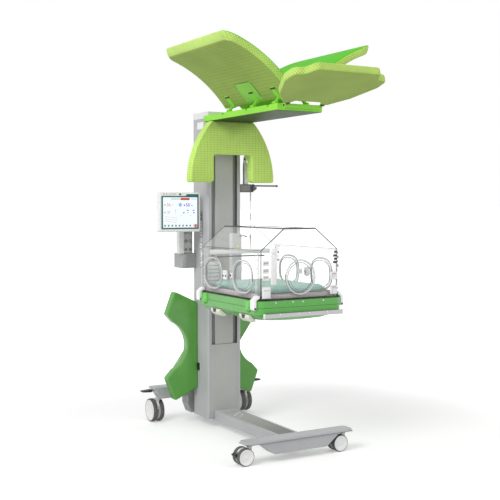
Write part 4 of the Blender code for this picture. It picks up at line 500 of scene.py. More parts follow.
# Above this height the strip is flatter, because the monitor swings past it.
STRIP_FLATTER = 1.15
stone_coat = powder_coat("stone_coat", (184, 183, 182), 0.48)
pale_plastic = moulded("pale_plastic", (212, 212, 210), 0.5)
dressed(stone_coat, "column_front_panel", "column_lower_cover")
dressed(white_matte, "column_cap")
dressed(black_plastic, "mains_switch")
slot_coat = powder_coat("slot_coat", (158, 158, 156), 0.6)
fitted(block("slot_liner", (-0.09, 0.4635, 0.120), (0.09, 0.4655, 1.8990), slot_coat, 0.0003, 1),
       "stand")
strip = [block("strip_back", (LEFT_FACE - 0.0022, 0.520, 0.985),
               (LEFT_FACE - 0.0002, 0.546, 1.335), panel_grey, 0.0006)]
for i, z in enumerate((1.010, 1.048, 1.086, 1.124, 1.160, 1.196, 1.228, 1.260)):
    tall = 0.014 if i % 2 else 0.011
    proud = LEFT_FACE - (0.0075 if z < STRIP_FLATTER else 0.0038)
    strip += [block("strip_block", (proud, 0.523, z - tall), (LEFT_FACE - 0.002, 0.543, z + tall),
                    white_gloss, 0.0008),
              block("strip_pin", (proud - 0.0007, 0.529, z - 0.004),
                    (proud + 0.0005, 0.537, z + 0.004), black_plastic, 0.0004, 1)]
dot = turned("strip_dot", [(0.0068, -0.0015), (0.0068, -0.0030), (0.0055, -0.0040)],
             (LEFT_FACE, 0.533, 1.290), "X", black_plastic, steps=24)
strip += [dot, copied(dot, "strip_dot_upper", (0, 0, 0.024))]
fitted(joined("socket_strip", *strip), "stand")
fitted(block("plate_back", (LEFT_FACE - 0.0016, 0.502, 1.842), (LEFT_FACE - 0.0002, 0.586, 1.884),
             white_gloss, 0.0005), "stand")
fitted(pipe("switch_bezel", [(LEFT_FACE - 0.001, u, v) for u, v in
                             round_box(0.0146, 0.025, 0.004, (0.569, 0.3665), 4)],
            0.0011, white_gloss, closed=True), "stand")

# The wings: two tall boards of moulded plastic behind the column, sprayed in green enamel.
# Each has a round bite out of its side, and a brace joins them across the column's back.


def enamelled(name, colour, rough, low=None, dark=None, coat=0.25):
    """Sprayed enamel under a thin clear coat, with soft waviness, and painted shade below a
    height.
    """
    f = Finish(name)
    base = f.clouded(f.ramp(f.noise(6.0), 0.3, 0.7), colour, 0.95, 1.05)
    # Painted shade: below a height the colour turns to a shade colour.
    if dark:
        base = f.blend(f.ramp(f.axes(f.place)[2], *low), shade(dark), base)
    f.relief(f.noise(55.0, 1.0) * 0.6 + f.noise(700.0, 1.0) * 0.4, 0.0004, 0.12)
    return f.mixed(Base_Color=base, Coat_Weight=coat, Coat_Roughness=0.15,
                   Specular_IOR_Level=0.5 if coat else 0.2,
                   Roughness=f.ramp(f.noise(30.0), 0.3, 0.7, rough - 0.04, rough + 0.05))


dressed(enamelled("wing_green", (88, 160, 62), 0.34), "wing_left", "wing_right", "wing_brace")

# The lift carriage and the sensor tower: a dark steel cradle carries the bed on the column.
# The white moulded tower stands on it behind the mattress, with a status lamp and a lever.


def lit(name, colour, strength=1.0):
    """A lit patch behind clear plastic, with a faint pixel grid."""
    f = Finish(name)
    x, _, z = f.axes(f.place)
    grid = f.lines(x, 0.0012, 0.0002) | f.lines(z, 0.0012, 0.0002)
    return f.mixed(Base_Color=(0.01, 0.01, 0.01), Roughness=0.2, Emission_Strength=strength,
                   Emission_Color=f.clouded(grid * 0.15, colour, 1.0, 0.7))


def flowing(points, per_span=8):
    """A smooth path through points."""
    spots = [Vector(p) for p in points]
    spots = [spots[0] * 2 - spots[1]] + spots + [spots[-1] * 2 - spots[-2]]
    path = []
    for a, b, c, d in zip(spots, spots[1:], spots[2:], spots[3:]):
        for t in (i / per_span for i in range(per_span)):
            path.append(0.5 * (2 * b + (c - a) * t + (2 * a - 5 * b + 4 * c - d) * t * t
                               + (3 * b - a - 3 * c + d) * t ** 3))
    return path + [spots[-2]]


dark_steel = powder_coat("dark_steel", (92, 92, 92), 0.4)
dressed(dark_steel, "lift_carriage")
dressed(white_matte, "sensor_tower")
tower = [block("tower_part", (-half, front, low), (half, back, high), finish, edge, segments)
         for half, front, back, low, high, finish, edge, segments in (
             (0.0345, 0.2878, 0.3248, 1.150, 1.1515, panel_grey, 0.0003, 1),
             (0.0345, 0.2878, 0.3248, 1.118, 1.1193, panel_grey, 0.0003, 1),
             (0.0220, 0.2870, 0.2884, 1.086, 1.1440, pale_plastic, 0.0006, 2),
             (0.0352, 0.2876, 0.3250, 0.980, 1.0000, white_gloss, 0.0015, 2))]
tower.append(turned("tower_lamp", [(0.008, 0.0), (0.008, -0.002), (0.006, -0.0034)],
                    (0.006, 0.2875, 1.128), "Y", lit("lamp_yellow", (206, 220, 40), 0.9),
                    steps=24))
fitted(joined("tower_details", *tower), "bed")
lever = pipe("tower_lever", flowing([(0.018, 0.2862, 1.188), (0.040, 0.2836, 1.190),
                                     (0.058, 0.2840, 1.186)]), 0.0032, dark_steel)
knob = turned("lever_knob", [(0.0015, -0.006), (0.0042, -0.005), (0.0055, 0.0), (0.0042, 0.005),
                             (0.0015, 0.006)], (0.060, 0.2840, 1.186), "X", dark_steel, steps=20)
fitted(joined("tower_lever", lever, knob), "bed")

# The bed: a green enamelled tub over a heater pan, with a rubber gasket under the hood. The
# aluminium rail bolts to its foot end, and two pale handles tilt the deck inside.
BED_Y = -0.074
TUB_FRONT, RAIL_FRONT = -0.4343, -0.4581
ENDS = ("front", "rear")
dressed(enamelled("tub_green", (84, 170, 66), 0.3), "bed_tub", "bed_pan")
dressed(brushed("rail_aluminium", (168, 166, 168), 0.42), "equipment_rail")
deck_plastic = moulded("deck_plastic", (188, 178, 180), 0.45)
dressed(deck_plastic, "mattress_deck")
gasket_rubber = moulded("gasket_rubber", (46, 46, 46), 0.6, 900.0)
fitted(pipe("tub_gasket", [(x, y, 0.87) for x, y in
                           round_box(0.265, 0.355, 0.046, (0.0, BED_Y), 10)],
            0.002, gasket_rubber, closed=True), "bed")
boss = turned("tub_boss", [(0.0210, 0.8155), (0.0224, 0.8175), (0.0224, 0.8600),
                           (0.0206, 0.8650), (0.0190, 0.8664)], (0, 0, 0), "Z",
              enamelled("boss_green", (110, 205, 85), 0.3), steps=48)
for name, side in SIDES:
    for end, y in zip(ENDS, (-0.326, 0.181)):
        fitted(copied(boss, "tub_boss_%s_%s" % (name, end), (side * 0.264, y, 0)), "bed")
bpy.data.objects.remove(boss, do_unlink=True)
screw = turned("front_screw", [(0.0042, 0.0), (0.0042, -0.0012), (0.003, -0.0028)], (0, 0, 0),
               "Y", white_gloss, steps=20)
places = [(x, TUB_FRONT, 0.857) for x in (-0.167, -0.060, 0.004, 0.136)]
places += [(x, RAIL_FRONT, 0.797) for x in (-0.155, -0.035, 0.030, 0.147)]
fitted(joined("front_screws", *spread_out(screw, places)), "bed")
caps = [block("rail_cap", (side * 0.2495 - 0.004, -0.4595, 0.7775),
              (side * 0.2495 + 0.004, -0.4465, 0.8045), white_matte, 0.0012)
        for _, side in SIDES]
fitted(joined("rail_caps", *caps), "bed")
dressed(moulded("handle_cream", (232, 228, 216), 0.35), "tilt_handle_front", "tilt_handle_rear")
WEDGE = [(-0.014, 0.7875), (0.026, 0.7875), (0.012, 0.766), (-0.004, 0.769)]
for end, y in zip(ENDS, (-0.275, 0.056)):
    fitted(board("tilt_wedge_" + end, [(y + u, v) for u, v in WEDGE], "X", -0.2762, -0.2735,
                 black_plastic, edge=0.0008), "tilt_handle_" + end)
rims = [block("deck_side_rim", (side * 0.2385 - 0.0035, BED_Y - 0.318, 0.874),
              (side * 0.2385 + 0.0035, BED_Y + 0.322, 0.902), deck_plastic, 0.002)
        for _, side in SIDES]
rims.append(block("deck_front_rim", (-0.242, -0.399, 0.874), (0.242, -0.393, 0.896),
                  deck_plastic, 0.002))
vent = block("vent_box", (-0.236, 0.222, 0.905), (-0.150, 0.252, 1.045), pale_plastic, 0.004)
slots = [block("vent_slot", (-0.228, 0.2206, z), (-0.158, 0.2222, z + 0.007), panel_grey,
               0.0006, 1) for z in (0.930 + 0.022 * i for i in range(5))]
fitted(joined("deck_rims", vent, *rims, *slots), "bed")

# The mattress: a foam slab in a welded cover of coated teal cloth, with a piped edge.
# It is blown up a little from a smaller slab, as foam fills its cover, and lies flat below.
PAD_LOW, SWELL_MOST, SWELL_STEPS, SWELL_PRESSURE = 0.8975, 0.008, 20, 4.0
THREAD_WAVE = math.tau / 0.0016


def pillowed(piece):
    """Fill a slab by a short cloth simulation, with no point moved further than a cap."""
    taken_up(piece)
    piece.data.remesh_voxel_size = 0.006
    bpy.ops.object.voxel_remesh()
    rest = [vertex.co.copy() for vertex in piece.data.vertices]
    filling = piece.modifiers.new("filling", "CLOTH")
    filling.settings.use_pressure = True
    filling.settings.uniform_pressure_force = SWELL_PRESSURE
    filling.settings.effector_weights.gravity = 0.0
    for step in range(1, SWELL_STEPS + 1):
        bpy.context.scene.frame_set(step)
    blown = piece.evaluated_get(bpy.context.evaluated_depsgraph_get())
    moved = [vertex.co.copy() for vertex in blown.data.vertices]
    piece.modifiers.remove(filling)
    bpy.context.scene.frame_set(1)
    for vertex, start, end in zip(piece.data.vertices, rest, moved):
        way = end - start
        way.length = min(way.length, SWELL_MOST)
        vertex.co = start + way
        vertex.co.z = max(vertex.co.z, PAD_LOW)
    worked(piece, "SUBSURF", levels=1, render_levels=1)
    bpy.ops.object.shade_smooth()


cover = Finish("mattress_cover")
x, y, _ = cover.axes(cover.place)
weave = (x * THREAD_WAVE).maths("SINE") * (y * THREAD_WAVE).maths("SINE")
crease = cover.noise(14.0, 3.0)
cover.relief(weave * 0.2 + crease, 0.0015, 0.3)
mattress_cover = cover.mixed(
    Base_Color=cover.clouded(cover.ramp(crease, 0.35, 0.7), (182, 224, 212), 0.9, 1.08),
    Roughness=0.6, Sheen_Weight=0.2, Sheen_Roughness=0.4)
pad = board("mattress_pad", round_box(0.210, 0.285, 0.034, (0.0, BED_Y), 6), "Z", 0.8985, 0.9285,
            mattress_cover, edge=0.007, segments=3)
pillowed(pad)
piping = pipe("mattress_piping", [(x, y, 0.915) for x, y in
                                  round_box(0.2125, 0.2875, 0.036, (0.0, BED_Y), 8)],
              0.0022, mattress_cover, closed=True)
pad = joined("mattress_pad", pad, piping)
fitted(pad, "mattress_deck", "mattress")

# The hood: clear cast acrylic sheets bonded along their edges, which look dark where they meet.
# White clips, tube grommets and a header with a steel handle are screwed to it.
FRONT, REAR, HALF, EAVE = -0.407, 0.259, 0.244, 1.134
RIDGE_HALF, RIDGE, SILL = 0.100, 1.250, 0.8725
NEAR_EDGE, FAR_EDGE = 0.0036, 0.0016


def acrylic(name, alpha, tint=(0.90, 0.93, 0.95), solid_below=None):
    """Clear acrylic: almost unseen face on, and whiter at a glancing angle by a painted
    reflection.
    """
    f = Finish(name)
    # Painted reflection: the facing weight makes the sheet whiter and less clear at a glancing
    # angle.
    rim = f.node("LayerWeight", (), {"Blend": 0.35}, out="Facing")
    haze = f.ramp(f.noise(3.0), 0.35, 0.65, 0.0, 0.02)
    see = f.ramp(rim, 0.25, 1.0, alpha, alpha + 0.24) + haze
    if solid_below:
        see = see | f.ramp(f.axes(f.place)[2], solid_below, solid_below + 0.008, 1.0, 0.0)
    f.relief(f.noise(12.0, 1.0), 0.0006, 0.1)
    return f.mixed(Base_Color=tint, Alpha=see, Roughness=0.04)


dressed(acrylic("clear_acrylic", 0.03, (0.97, 0.97, 0.96)), "hood_shell", "side_panel_left",
        "side_panel_right")
smoked_edge = acrylic("smoked_edge", 0.86, shade((52, 54, 52)))
thin_edge = acrylic("thin_edge", 0.50, shade((104, 106, 104)))
dark_edges, faint_edges = [], []
for y, radius in ((FRONT, NEAR_EDGE), (REAR, FAR_EDGE)):
    dark_edges.append(pipe("ridge", [(-RIDGE_HALF, y, RIDGE), (RIDGE_HALF, y, RIDGE)],
                           radius * 1.2, smoked_edge))
    for _, side in SIDES:
        dark_edges.append(pipe("gable_edge", [(side * RIDGE_HALF, y, RIDGE),
                                              (side * HALF, y, EAVE), (side * HALF, y, SILL)],
                               radius * 0.8, smoked_edge))
for _, side in SIDES:
    dark_edges.append(pipe("roof_edge", [(side * RIDGE_HALF, y, RIDGE) for y in (FRONT, REAR)],
                           NEAR_EDGE if side < 0 else 0.0018, smoked_edge))
    faint_edges.append(pipe("eave_edge", [(side * HALF, y, EAVE) for y in (FRONT, REAR)],
                            0.0017, thin_edge))
fitted(joined("hood_dark_edges", *dark_edges), "bed")
fitted(joined("hood_faint_edges", *faint_edges), "bed")
header = block("hood_header", (-0.205, REAR - 0.018, 1.084), (0.205, REAR - 0.0065, 1.112),
               white_gloss, 0.003)
GRIP = ((-0.150, -0.008, 1.070), (-0.146, -0.030, 1.071), (0.0, -0.034, 1.072),
        (0.146, -0.030, 1.071), (0.150, -0.008, 1.070))
grip = pipe("hood_grip", flowing([(x, REAR + y, z) for x, y, z in GRIP]), 0.0046, dark_steel)
fitted(joined("hood_rear_fittings", header, grip), "bed")


def only_face(piece, wanted):
    """Select one face of a piece and nothing else of it."""
    for group in (piece.data.vertices, piece.data.edges, piece.data.polygons):
        group.foreach_set("select", [False] * len(group))
    wanted.select = True
    bpy.ops.object.mode_set(mode="EDIT")


def sunk_front(piece, rim, depth):
    """Inset the face that looks at the bed's foot end, and press it in."""
    taken_up(piece)
    only_face(piece, max((f for f in piece.data.polygons if f.normal.y < -0.99),
                         key=lambda f: f.area))
    bpy.ops.mesh.inset(thickness=rim)
    bpy.ops.mesh.extrude_region_move(TRANSFORM_OT_translate={"value": (0, depth, 0)})
    bpy.ops.object.mode_set(mode="OBJECT")
    return piece


GABLE = FRONT - 0.0004


def on_gable(x_low, x_high, proud, z_low, z_high, material, edge, sunk=None):
    """A clip on the front gable, with its face sunk by a rim and a depth if these are given."""
    clip = block("clip", (x_low, GABLE - proud, z_low), (x_high, GABLE, z_high), material, edge)
    return sunk_front(clip, *sunk) if sunk else clip


def clip_line(x_low, x_high, front, back, z_low, z_high):
    """A grey line on a clip of the gable."""
    return block("clip_line", (x_low, GABLE - front, z_low), (x_high, GABLE - back, z_high),
                 panel_grey, 0.0003, 1)


gable_parts = []
for z in (1.066, 1.026, 0.990):
    gable_parts += [on_gable(-0.236, -0.196, 0.006, z - 0.014, z + 0.014, white_gloss, 0.002,
                             (0.0035, 0.003)),
                    clip_line(-0.230, -0.202, 0.0042, 0.0026, z - 0.0006, z + 0.0022)]
gable_parts += [on_gable(-0.240, -0.190, 0.012, 0.880, 0.942, white_gloss, 0.003),
                clip_line(-0.236, -0.200, 0.0126, 0.0114, 0.922, 0.925)]
for low, high in ((0.886, 0.936), (0.966, 1.010)):
    gable_parts += [on_gable(0.196, 0.240, 0.010, low, high, white_gloss, 0.003,
                             (0.0055, 0.004)),
                    clip_line(0.205, 0.231, 0.0066, 0.0054, high - 0.013, high - 0.0105)]
for i, z in enumerate((1.118, 1.098, 1.080, 1.062)):
    gable_parts.append(on_gable(0.224 - 0.006 * (i % 2), 0.236, 0.007, z - 0.006, z + 0.006,
                                black_plastic, 0.001))
gable_parts += [on_gable(-0.186, -0.150, 0.008, 0.950, 1.118, white_gloss, 0.004),
                turned("hinge_knob", [(0.0165, 0.0), (0.0165, -0.006), (0.0125, -0.0062),
                                      (0.012, -0.012), (0.009, -0.017)],
                       (-0.166, GABLE, 1.128), "Y", white_gloss)]
fitted(joined("gable_fittings", *gable_parts), "bed")

# The hand ports: squarish holes with thick rims, black seals and clear doors on side hinges.
# A white latch with two black studs stands between the doors of each side panel.
PORT_Z = 0.987
dressed(acrylic("clear_door", 0.07), "port_door_front", "port_door_left_front",
        "port_door_left_rear", "port_door_right_front", "port_door_right_rear")
dressed(white_gloss, "port_latch_left", "port_latch_right")
milky_rim = acrylic("milky_rim", 0.60, (0.93, 0.94, 0.94))
seal_line = moulded("seal_line", (84, 86, 86), 0.5)


def port_outline(along, grow, half, power, steps=72):
    """The squarish oval of a hand port, grown by a margin."""
    points = []
    for i in range(steps):
        c, s = math.cos(math.tau * i / steps), math.sin(math.tau * i / steps)
        points.append((along + math.copysign(abs(c) ** (2 / power), c) * (half[0] + grow),
                       PORT_Z + math.copysign(abs(s) ** (2 / power), s) * (half[1] + grow)))
    return points


def hand_port(tag, along, depth, half, power, turn, wall_body, door_body):
    """The seals on the wall round one port, and the rims of its door."""
    def rings(name, *sizes):
        return joined(name, *[
            pipe("ring", [turn @ Vector((u, -depth - off, w)) for u, w in
                          port_outline(along, grow, half, power)], radius, finish, closed=True)
            for grow, off, radius, finish in sizes])

    fitted(rings(tag + "_seal", (-0.0015, 0.0030, 0.0018, seal_line),
                 (0.0085, 0.0016, 0.0016, milky_rim)), wall_body)
    fitted(rings(tag + "_rim", (0.0120, 0.0083, 0.0036, milky_rim),
                 (0.0158, 0.0083, 0.0009, seal_line), (-0.010, 0.0112, 0.0010, thin_edge)),
           door_body)


def stud(name, place, radius, side, reach, material, steps=24):
    """A round stud on a side panel, from its foot in the wall to its smaller end."""
    foot, shoulder, end = reach
    return turned(name, [(radius[0], side * foot), (radius[0], side * shoulder),
                         (radius[1], side * end)], place, "X", material, steps=steps)


for name, side in SIDES:
    for end, y, pin_y in (("front", -0.233, -0.342), ("rear", 0.107, 0.216)):
        hand_port("port_%s_%s" % (name, end), side * y, 0.2503, (0.093, 0.076), 2.6,
                  Matrix.Rotation(math.radians(side * 90), 4, "Z"), "side_" + name,
                  "port_door_%s_%s" % (name, end))
        pins = [turned("hinge_cap", [(0.0058, z), (0.0064, z + 0.001), (0.0064, z + 0.003)],
                       (side * 0.2586, pin_y, PORT_Z), "Z", white_gloss, steps=24)
                for z in (-0.0275, 0.0245)]
        fitted(joined("port_hinge_%s_%s" % (name, end), *pins), "side_" + name)
    studs = [stud("latch_stud", (side * 0.2773, y, 0.982), (0.006, 0.0048), side,
                  (-0.001, 0.0004, 0.0018), black_plastic) for y in (-0.076, -0.050)]
    plates = [block("latch_plate", (side * 0.2552 - 0.004, y - 0.012, 0.972),
                    (side * 0.2552 + 0.004, y + 0.012, 1.0), white_gloss, 0.002)
              for y in (-0.104, -0.022)]
    plates += [stud("plate_stud", (side * 0.2552, y, 0.986), (0.007, 0.0055), side,
                    (0.003, 0.0046, 0.0058), black_plastic) for y in (-0.100, -0.026)]
    fitted(joined("latch_plates_" + name, *plates), "side_" + name)
    thumb = block("latch_ridge", (side * 0.2768 - 0.0015, -0.072, 0.996),
                  (side * 0.2768 + 0.0015, -0.054, 1.006), pale_plastic, 0.001)
    fitted(joined("latch_face_" + name, thumb, *studs), "port_latch_" + name)
hand_port("port_gable", 0.0, 0.407, (0.080, 0.080), 2.0, Matrix.Identity(4), "bed",
          "port_door_front")

# The hinge arms of the side panels: clear moulded straps whose feet are filled white.
# Each turns on a black steel pin through a boss of the tub.
PANEL_FACE, STRAP_FACE = 0.2503, 0.2632
PANEL_EDGES = (((-0.397, 0.874), (-0.397, 1.126)), ((0.252, 0.874), (0.252, 1.126)),
               ((-0.397, 1.127), (0.252, 1.127)), ((-0.397, 0.873), (0.252, 0.873)))
dressed(acrylic("arm_plastic", 0.10, (0.93, 0.94, 0.95), solid_below=0.893),
        "hinge_arm_left_front", "hinge_arm_left_rear", "hinge_arm_right_front",
        "hinge_arm_right_rear")
for name, side in SIDES:
    face = side * STRAP_FACE
    for end, y in zip(ENDS, (-0.388, 0.243)):
        pin = turned("arm_pin", [(0.005, -0.0216), (0.0062, -0.0205), (0.0062, 0.0205),
                                 (0.005, 0.0216)], (side * 0.2796, y, 0.828), "Y", black_plastic)
        rails = [pipe("arm_edge", [(face, edge, 0.905), (face, edge, 1.126)], 0.0007, thin_edge)
                 for edge in (y - 0.0185, y + 0.0185)]
        clips = [block("arm_clip", (face - 0.0012, y - 0.010, z - 0.007),
                       (face + 0.0012, y + 0.006, z + 0.007), white_gloss) for z in (1.040, 1.088)]
        screws = [stud("arm_screw", (side * 0.263, y, z), (0.0036, 0.0026), side,
                       (-0.001, 0.0008, 0.002), panel_grey, 16) for z in (0.915, 1.064, 1.112)]
        fitted(joined("arm_details_%s_%s" % (name, end), pin, *rails, *clips, *screws),
               "side_" + name)
    edges = [pipe("panel_edge", [(side * PANEL_FACE, *spot) for spot in ends], 0.0012, thin_edge)
             for ends in PANEL_EDGES]
    fitted(joined("panel_edges_" + name, *edges), "side_" + name)

# The monitor: a white moulded case with a teal frame, two small lamps and a grille above it.
# The lit screen shows bars, keys and plain numbers on white, each printed as a thin tile.
dressed(white_gloss, "monitor_screen", "monitor_post")
dressed(panel_grey, "socket_panel")
dressed(powder_coat("bracket_coat", (164, 164, 164), 0.45), "monitor_bracket")
CASE_LEFT, CASE_RIGHT, CASE_LOW, CASE_HIGH, GLASS = -0.4165, -0.143, 1.2134, 1.452, 0.496
TEAL_LEFT, TEAL_RIGHT = CASE_LEFT + 0.014, CASE_RIGHT - 0.010
TEAL_LOW, TEAL_HIGH, TAB_HIGH = CASE_LOW + 0.016, CASE_HIGH - 0.022, CASE_HIGH - 0.010
SHOWN_WIDE, SHOWN_HIGH = TEAL_RIGHT - TEAL_LEFT - 0.020, TEAL_HIGH - TEAL_LOW - 0.017
TILE_BACK, TILE_FRONT = GLASS - 0.0010, GLASS - 0.0013
teal = board("screen_frame", [(TEAL_LEFT, TEAL_LOW), (TEAL_RIGHT, TEAL_LOW),
                              (TEAL_RIGHT, TAB_HIGH), (TEAL_RIGHT - 0.078, TAB_HIGH),
                              (TEAL_RIGHT - 0.090, TEAL_HIGH), (TEAL_LEFT, TEAL_HIGH)], "Y",
             GLASS - 0.0006, GLASS + 0.0016, moulded("teal_frame", (45, 104, 108)),
             edge=0.0003, segments=1)


def on_screen(u, v):
    """The place at a share of the lit screen's width and height."""
    return TEAL_LEFT + 0.010 + u * SHOWN_WIDE, TEAL_HIGH - 0.008 - v * SHOWN_HIGH


def tile(u, v, wide, high, key):
    """A lit tile on the screen."""
    outline = round_box(wide / 2, high / 2, min(wide, high) * 0.2, on_screen(u, v), 2)
    return board("tile", outline, "Y", TILE_FRONT, TILE_BACK, glow[key])


TILE_COLOURS = {"red": (190, 10, 16), "violet": (104, 84, 214), "rose": (226, 150, 178),
                "blue": (140, 176, 226), "ink": (90, 110, 112), "mist": (206, 218, 218),
                "amber": (206, 100, 76), "pale": (196, 216, 244), "white": (240, 250, 252)}
TILES = ((0.64, 0.055, 0.062, 0.014, "red"), (0.36, 0.055, 0.062, 0.012, "mist"),
         (0.90, 0.055, 0.038, 0.008, "pale"), (0.055, 0.25, 0.006, 0.010, "ink"),
         (0.055, 0.50, 0.006, 0.009, "ink"), (0.27, 0.25, 0.006, 0.006, "rose"),
         (0.62, 0.26, 0.009, 0.010, "violet"), (0.84, 0.27, 0.010, 0.008, "blue"),
         (0.36, 0.43, 0.005, 0.005, "ink"), (0.36, 0.51, 0.005, 0.005, "rose"),
         (0.72, 0.43, 0.011, 0.007, "violet"), (0.89, 0.43, 0.011, 0.007, "violet"),
         (0.60, 0.51, 0.012, 0.007, "violet"), (0.73, 0.51, 0.009, 0.006, "blue"),
         (0.90, 0.51, 0.012, 0.006, "violet"), (0.52, 0.60, 0.008, 0.005, "mist"),
         (0.80, 0.60, 0.010, 0.005, "mist"))
KEYS, MARKS = 9, 26
glow = {key: lit("screen_" + key, colour) for key, colour in TILE_COLOURS.items()}
glass = board("screen_glass", round_box(SHOWN_WIDE / 2, SHOWN_HIGH / 2, 0.002,
                                        on_screen(0.5, 0.5), 3),
              "Y", GLASS - 0.0010, GLASS - 0.0005, glow["white"])
x, z = on_screen(0.50, 0.245)
diamond = board("tile", [(x, z - 0.015), (x + 0.014, z), (x, z + 0.015), (x - 0.014, z)], "Y",
                TILE_FRONT, TILE_BACK, glow["blue"])
shown = [teal, glass, diamond] + [tile(*spot) for spot in TILES]
for i in range(KEYS):
    u = 0.055 + 0.105 * i
    shown += [tile(u, 0.935, 0.011, 0.010, "ink" if i < KEYS - 1 else "pale"),
              tile(u, 0.885, 0.012, 0.0015, "mist")]
for i in range(MARKS):
    u, v = 0.05 + 0.36 * ((i * 7) % MARKS) / MARKS, 0.62 + 0.22 * ((i * 11) % MARKS) / MARKS
    shown.append(tile(u, v, 0.006, 0.0035, "rose" if i % 3 else "mist"))
shown.append(turned("warm_knob", [(0.011, 0.0), (0.010, -0.0012), (0.006, -0.0018)],
                    (TEAL_RIGHT - 0.021, GLASS - 0.0008, TEAL_LOW + 0.020), "Y", glow["amber"]))
for text, u, v, size, key in (("36", 0.16, 0.25, 0.027, "rose"),
                              ("50", 0.72, 0.255, 0.030, "violet"),
                              ("37", 0.16, 0.50, 0.021, "rose")):
    digits = begun("digits", bpy.ops.object.text_add)
    digits.data.body = text
    digits.data.size = size
    digits.data.align_x = digits.data.align_y = "CENTER"
    digits.data.extrude = 0.0002
    digits.data.offset = 0.0005
    bpy.ops.object.convert(target="MESH")
    x, z = on_screen(u, v)
    digits.matrix_world = (Matrix.Translation((x, TILE_FRONT, z))
                           @ Matrix.Rotation(math.radians(90), 4, "X"))
    bpy.ops.object.transform_apply()
    digits.data.materials.clear()
    digits.data.materials.append(glow[key])
    shown.append(digits)
fitted(joined("screen_display", *shown), "monitor_screen")
case_dot = turned("case_dot", [(0.0042, 0.0), (0.0034, -0.0012), (0.002, -0.0014)],
                  (CASE_LEFT + 0.030, GLASS, CASE_HIGH - 0.010), "Y", panel_grey, steps=24)
controls = [case_dot, copied(case_dot, "case_dot_second", (0.017, 0, 0)),
            turned("camera_dot", [(0.0066, 0.0), (0.0055, -0.0014), (0.003, -0.0016)],
                   (CASE_LEFT + 0.138, GLASS, CASE_HIGH - 0.012), "Y", black_plastic),
            block("case_grille", (CASE_LEFT + 0.064, GLASS - 0.0006, CASE_HIGH - 0.014),
                  (CASE_LEFT + 0.108, GLASS + 0.001, CASE_HIGH - 0.006), pale_plastic, 0.0004),
            block("case_lip", (CASE_LEFT - 0.006, GLASS + 0.002, CASE_LOW - 0.001),
                  (CASE_RIGHT + 0.001, GLASS + 0.034, CASE_LOW + 0.0035), pale_plastic, 0.0016)]
fitted(joined("case_controls", *controls), "monitor_screen")

# The socket panel and the bracket: a grey moulded plate with six round sockets below the post.
# The bracket is a folded steel box with a rubber pad under the swivel.
SOCKET = [(1.04, 0.0), (1.0, -0.0016), (0.9, -0.0020), (0.85, -0.0004), (0.66, -0.0004),
          (0.62, -0.0022), (0.5, -0.0022), (0.45, -0.0006), (0.1, -0.0006)]
sockets = []
for row in range(3):
    for column in range(2):
        radius = 0.0105 if row else 0.0085
        face = panel_grey if column and row else black_plastic
        sockets.append(turned("socket", [(share * radius, far) for share, far in SOCKET],
                              (-0.1858 + 0.0288 * column, 0.606, 1.0985 + 0.0525 * row), "Y",
                              face, black_plastic,
                              zone=lambda wide: int(wide > 0.0088 or wide < 0.0045)))
cast_grey = moulded("cast_grey", (206, 206, 204), 0.6, 500.0, 0.8, 0.06)
plate = block("socket_plate", (-0.200, 0.6052, 1.080), (-0.143, 0.6062, 1.259), cast_grey,
              0.0003, 1)
fitted(joined("socket_faces", plate, *sockets), "monitor_post")
pad_line = block("bracket_pad", (-0.212, 0.6075, 1.0726), (-0.117, 0.7200, 1.0744),
                 black_plastic, 0.0004, 1)
cheek = block("bracket_cheek", (-0.2136, 0.6052, 0.9838), (-0.1780, 0.6064, 1.0712),
              silver_coat, 0.0004, 1)
fitted(joined("bracket_details", pad_line, cheek), "stand")

# The accessory bracket: a dark steel angle that holds a swinging hook and a white gas bottle.
# A thin dark hose runs down from the bottle's elbow and is clipped to the bracket.
dressed(dark_steel, "hook_bracket", "hook_arm")
BOTTLE = [(0.0148, 1.5053), (0.0175, 1.5090), (0.0175, 1.5240), (0.0170, 1.5255),
          (0.0170, 1.5270), (0.0175, 1.5285), (0.0175, 1.6180), (0.0160, 1.6280),
          (0.0120, 1.6360), (0.0080, 1.6410), (0.0080, 1.6520), (0.0130, 1.6560),
          (0.0132, 1.6740), (0.0110, 1.6780), (0.0070, 1.6840), (0.0030, 1.6850)]
fitted(turned("bottle_body", BOTTLE, (0.1665, 0.476, 0), "Z", white_gloss, steps=48), "stand",
       "gas_bottle")
speckled = moulded("speckled", (132, 126, 126), 0.7, 300.0, 0.9, 0.25)
fittings = [pipe("gas_hose", flowing([(0.1520, 0.468, 1.660), (0.1440, 0.464, 1.635),
                                      (0.1455, 0.4635, 1.580), (0.1470, 0.4635, 1.530),
                                      (0.1450, 0.4645, 1.506)]), 0.0022, dark_steel),
            block("bracket_block", (0.116, 0.4545, 1.4605), (0.186, 0.4570, 1.5000), speckled,
                  0.0006),
            block("bracket_clip", (0.198, 0.4525, 1.4560), (0.210, 0.4575, 1.4900), black_plastic),
            block("elbow", (0.150, 0.4650, 1.6560), (0.164, 0.4750, 1.6670), dark_steel, 0.002)]
fitted(joined("bracket_fittings", *fittings), "stand")

# The canopy bridge: an enamelled box beam under the petals, with their hinge lugs along it.
# Below the height of its underside the enamel is painted dark, as shade.
bridge_green = enamelled("bridge_green", (148, 222, 76), 0.55, (1.8784, 1.8816), (52, 74, 38),
                         coat=0.0)
dressed(bridge_green, "canopy_bridge")

# The side petals: foam shells in a sewn cover, bright leaf-green on the outside. The lining is
# channel-stitched and the rim is quilted in small diamonds. Three steel arms carry each one.
PETAL_INSIDE, PETAL_THICK, PETAL_X, PETAL_Z = 0.765, 0.048, 0.6779, 1.4877
ROOT_ANGLE, TIP_ANGLE, TIP_LEAN, TIP_LENGTH = 143.3, 107.0, 2.6, 0.12
PETAL_SPAN = math.radians(ROOT_ANGLE - TIP_ANGLE) * PETAL_INSIDE
PETAL_MIDDLE, PETAL_HALF, CORNER, ROLL = -0.054, 0.370, 0.052, 0.013
LONG_STEPS, CORNER_STEPS, CROSS_STEPS, ROLL_STEPS = 40, 8, 40, 5
LINING, RIM, BACK, TIP = range(4)
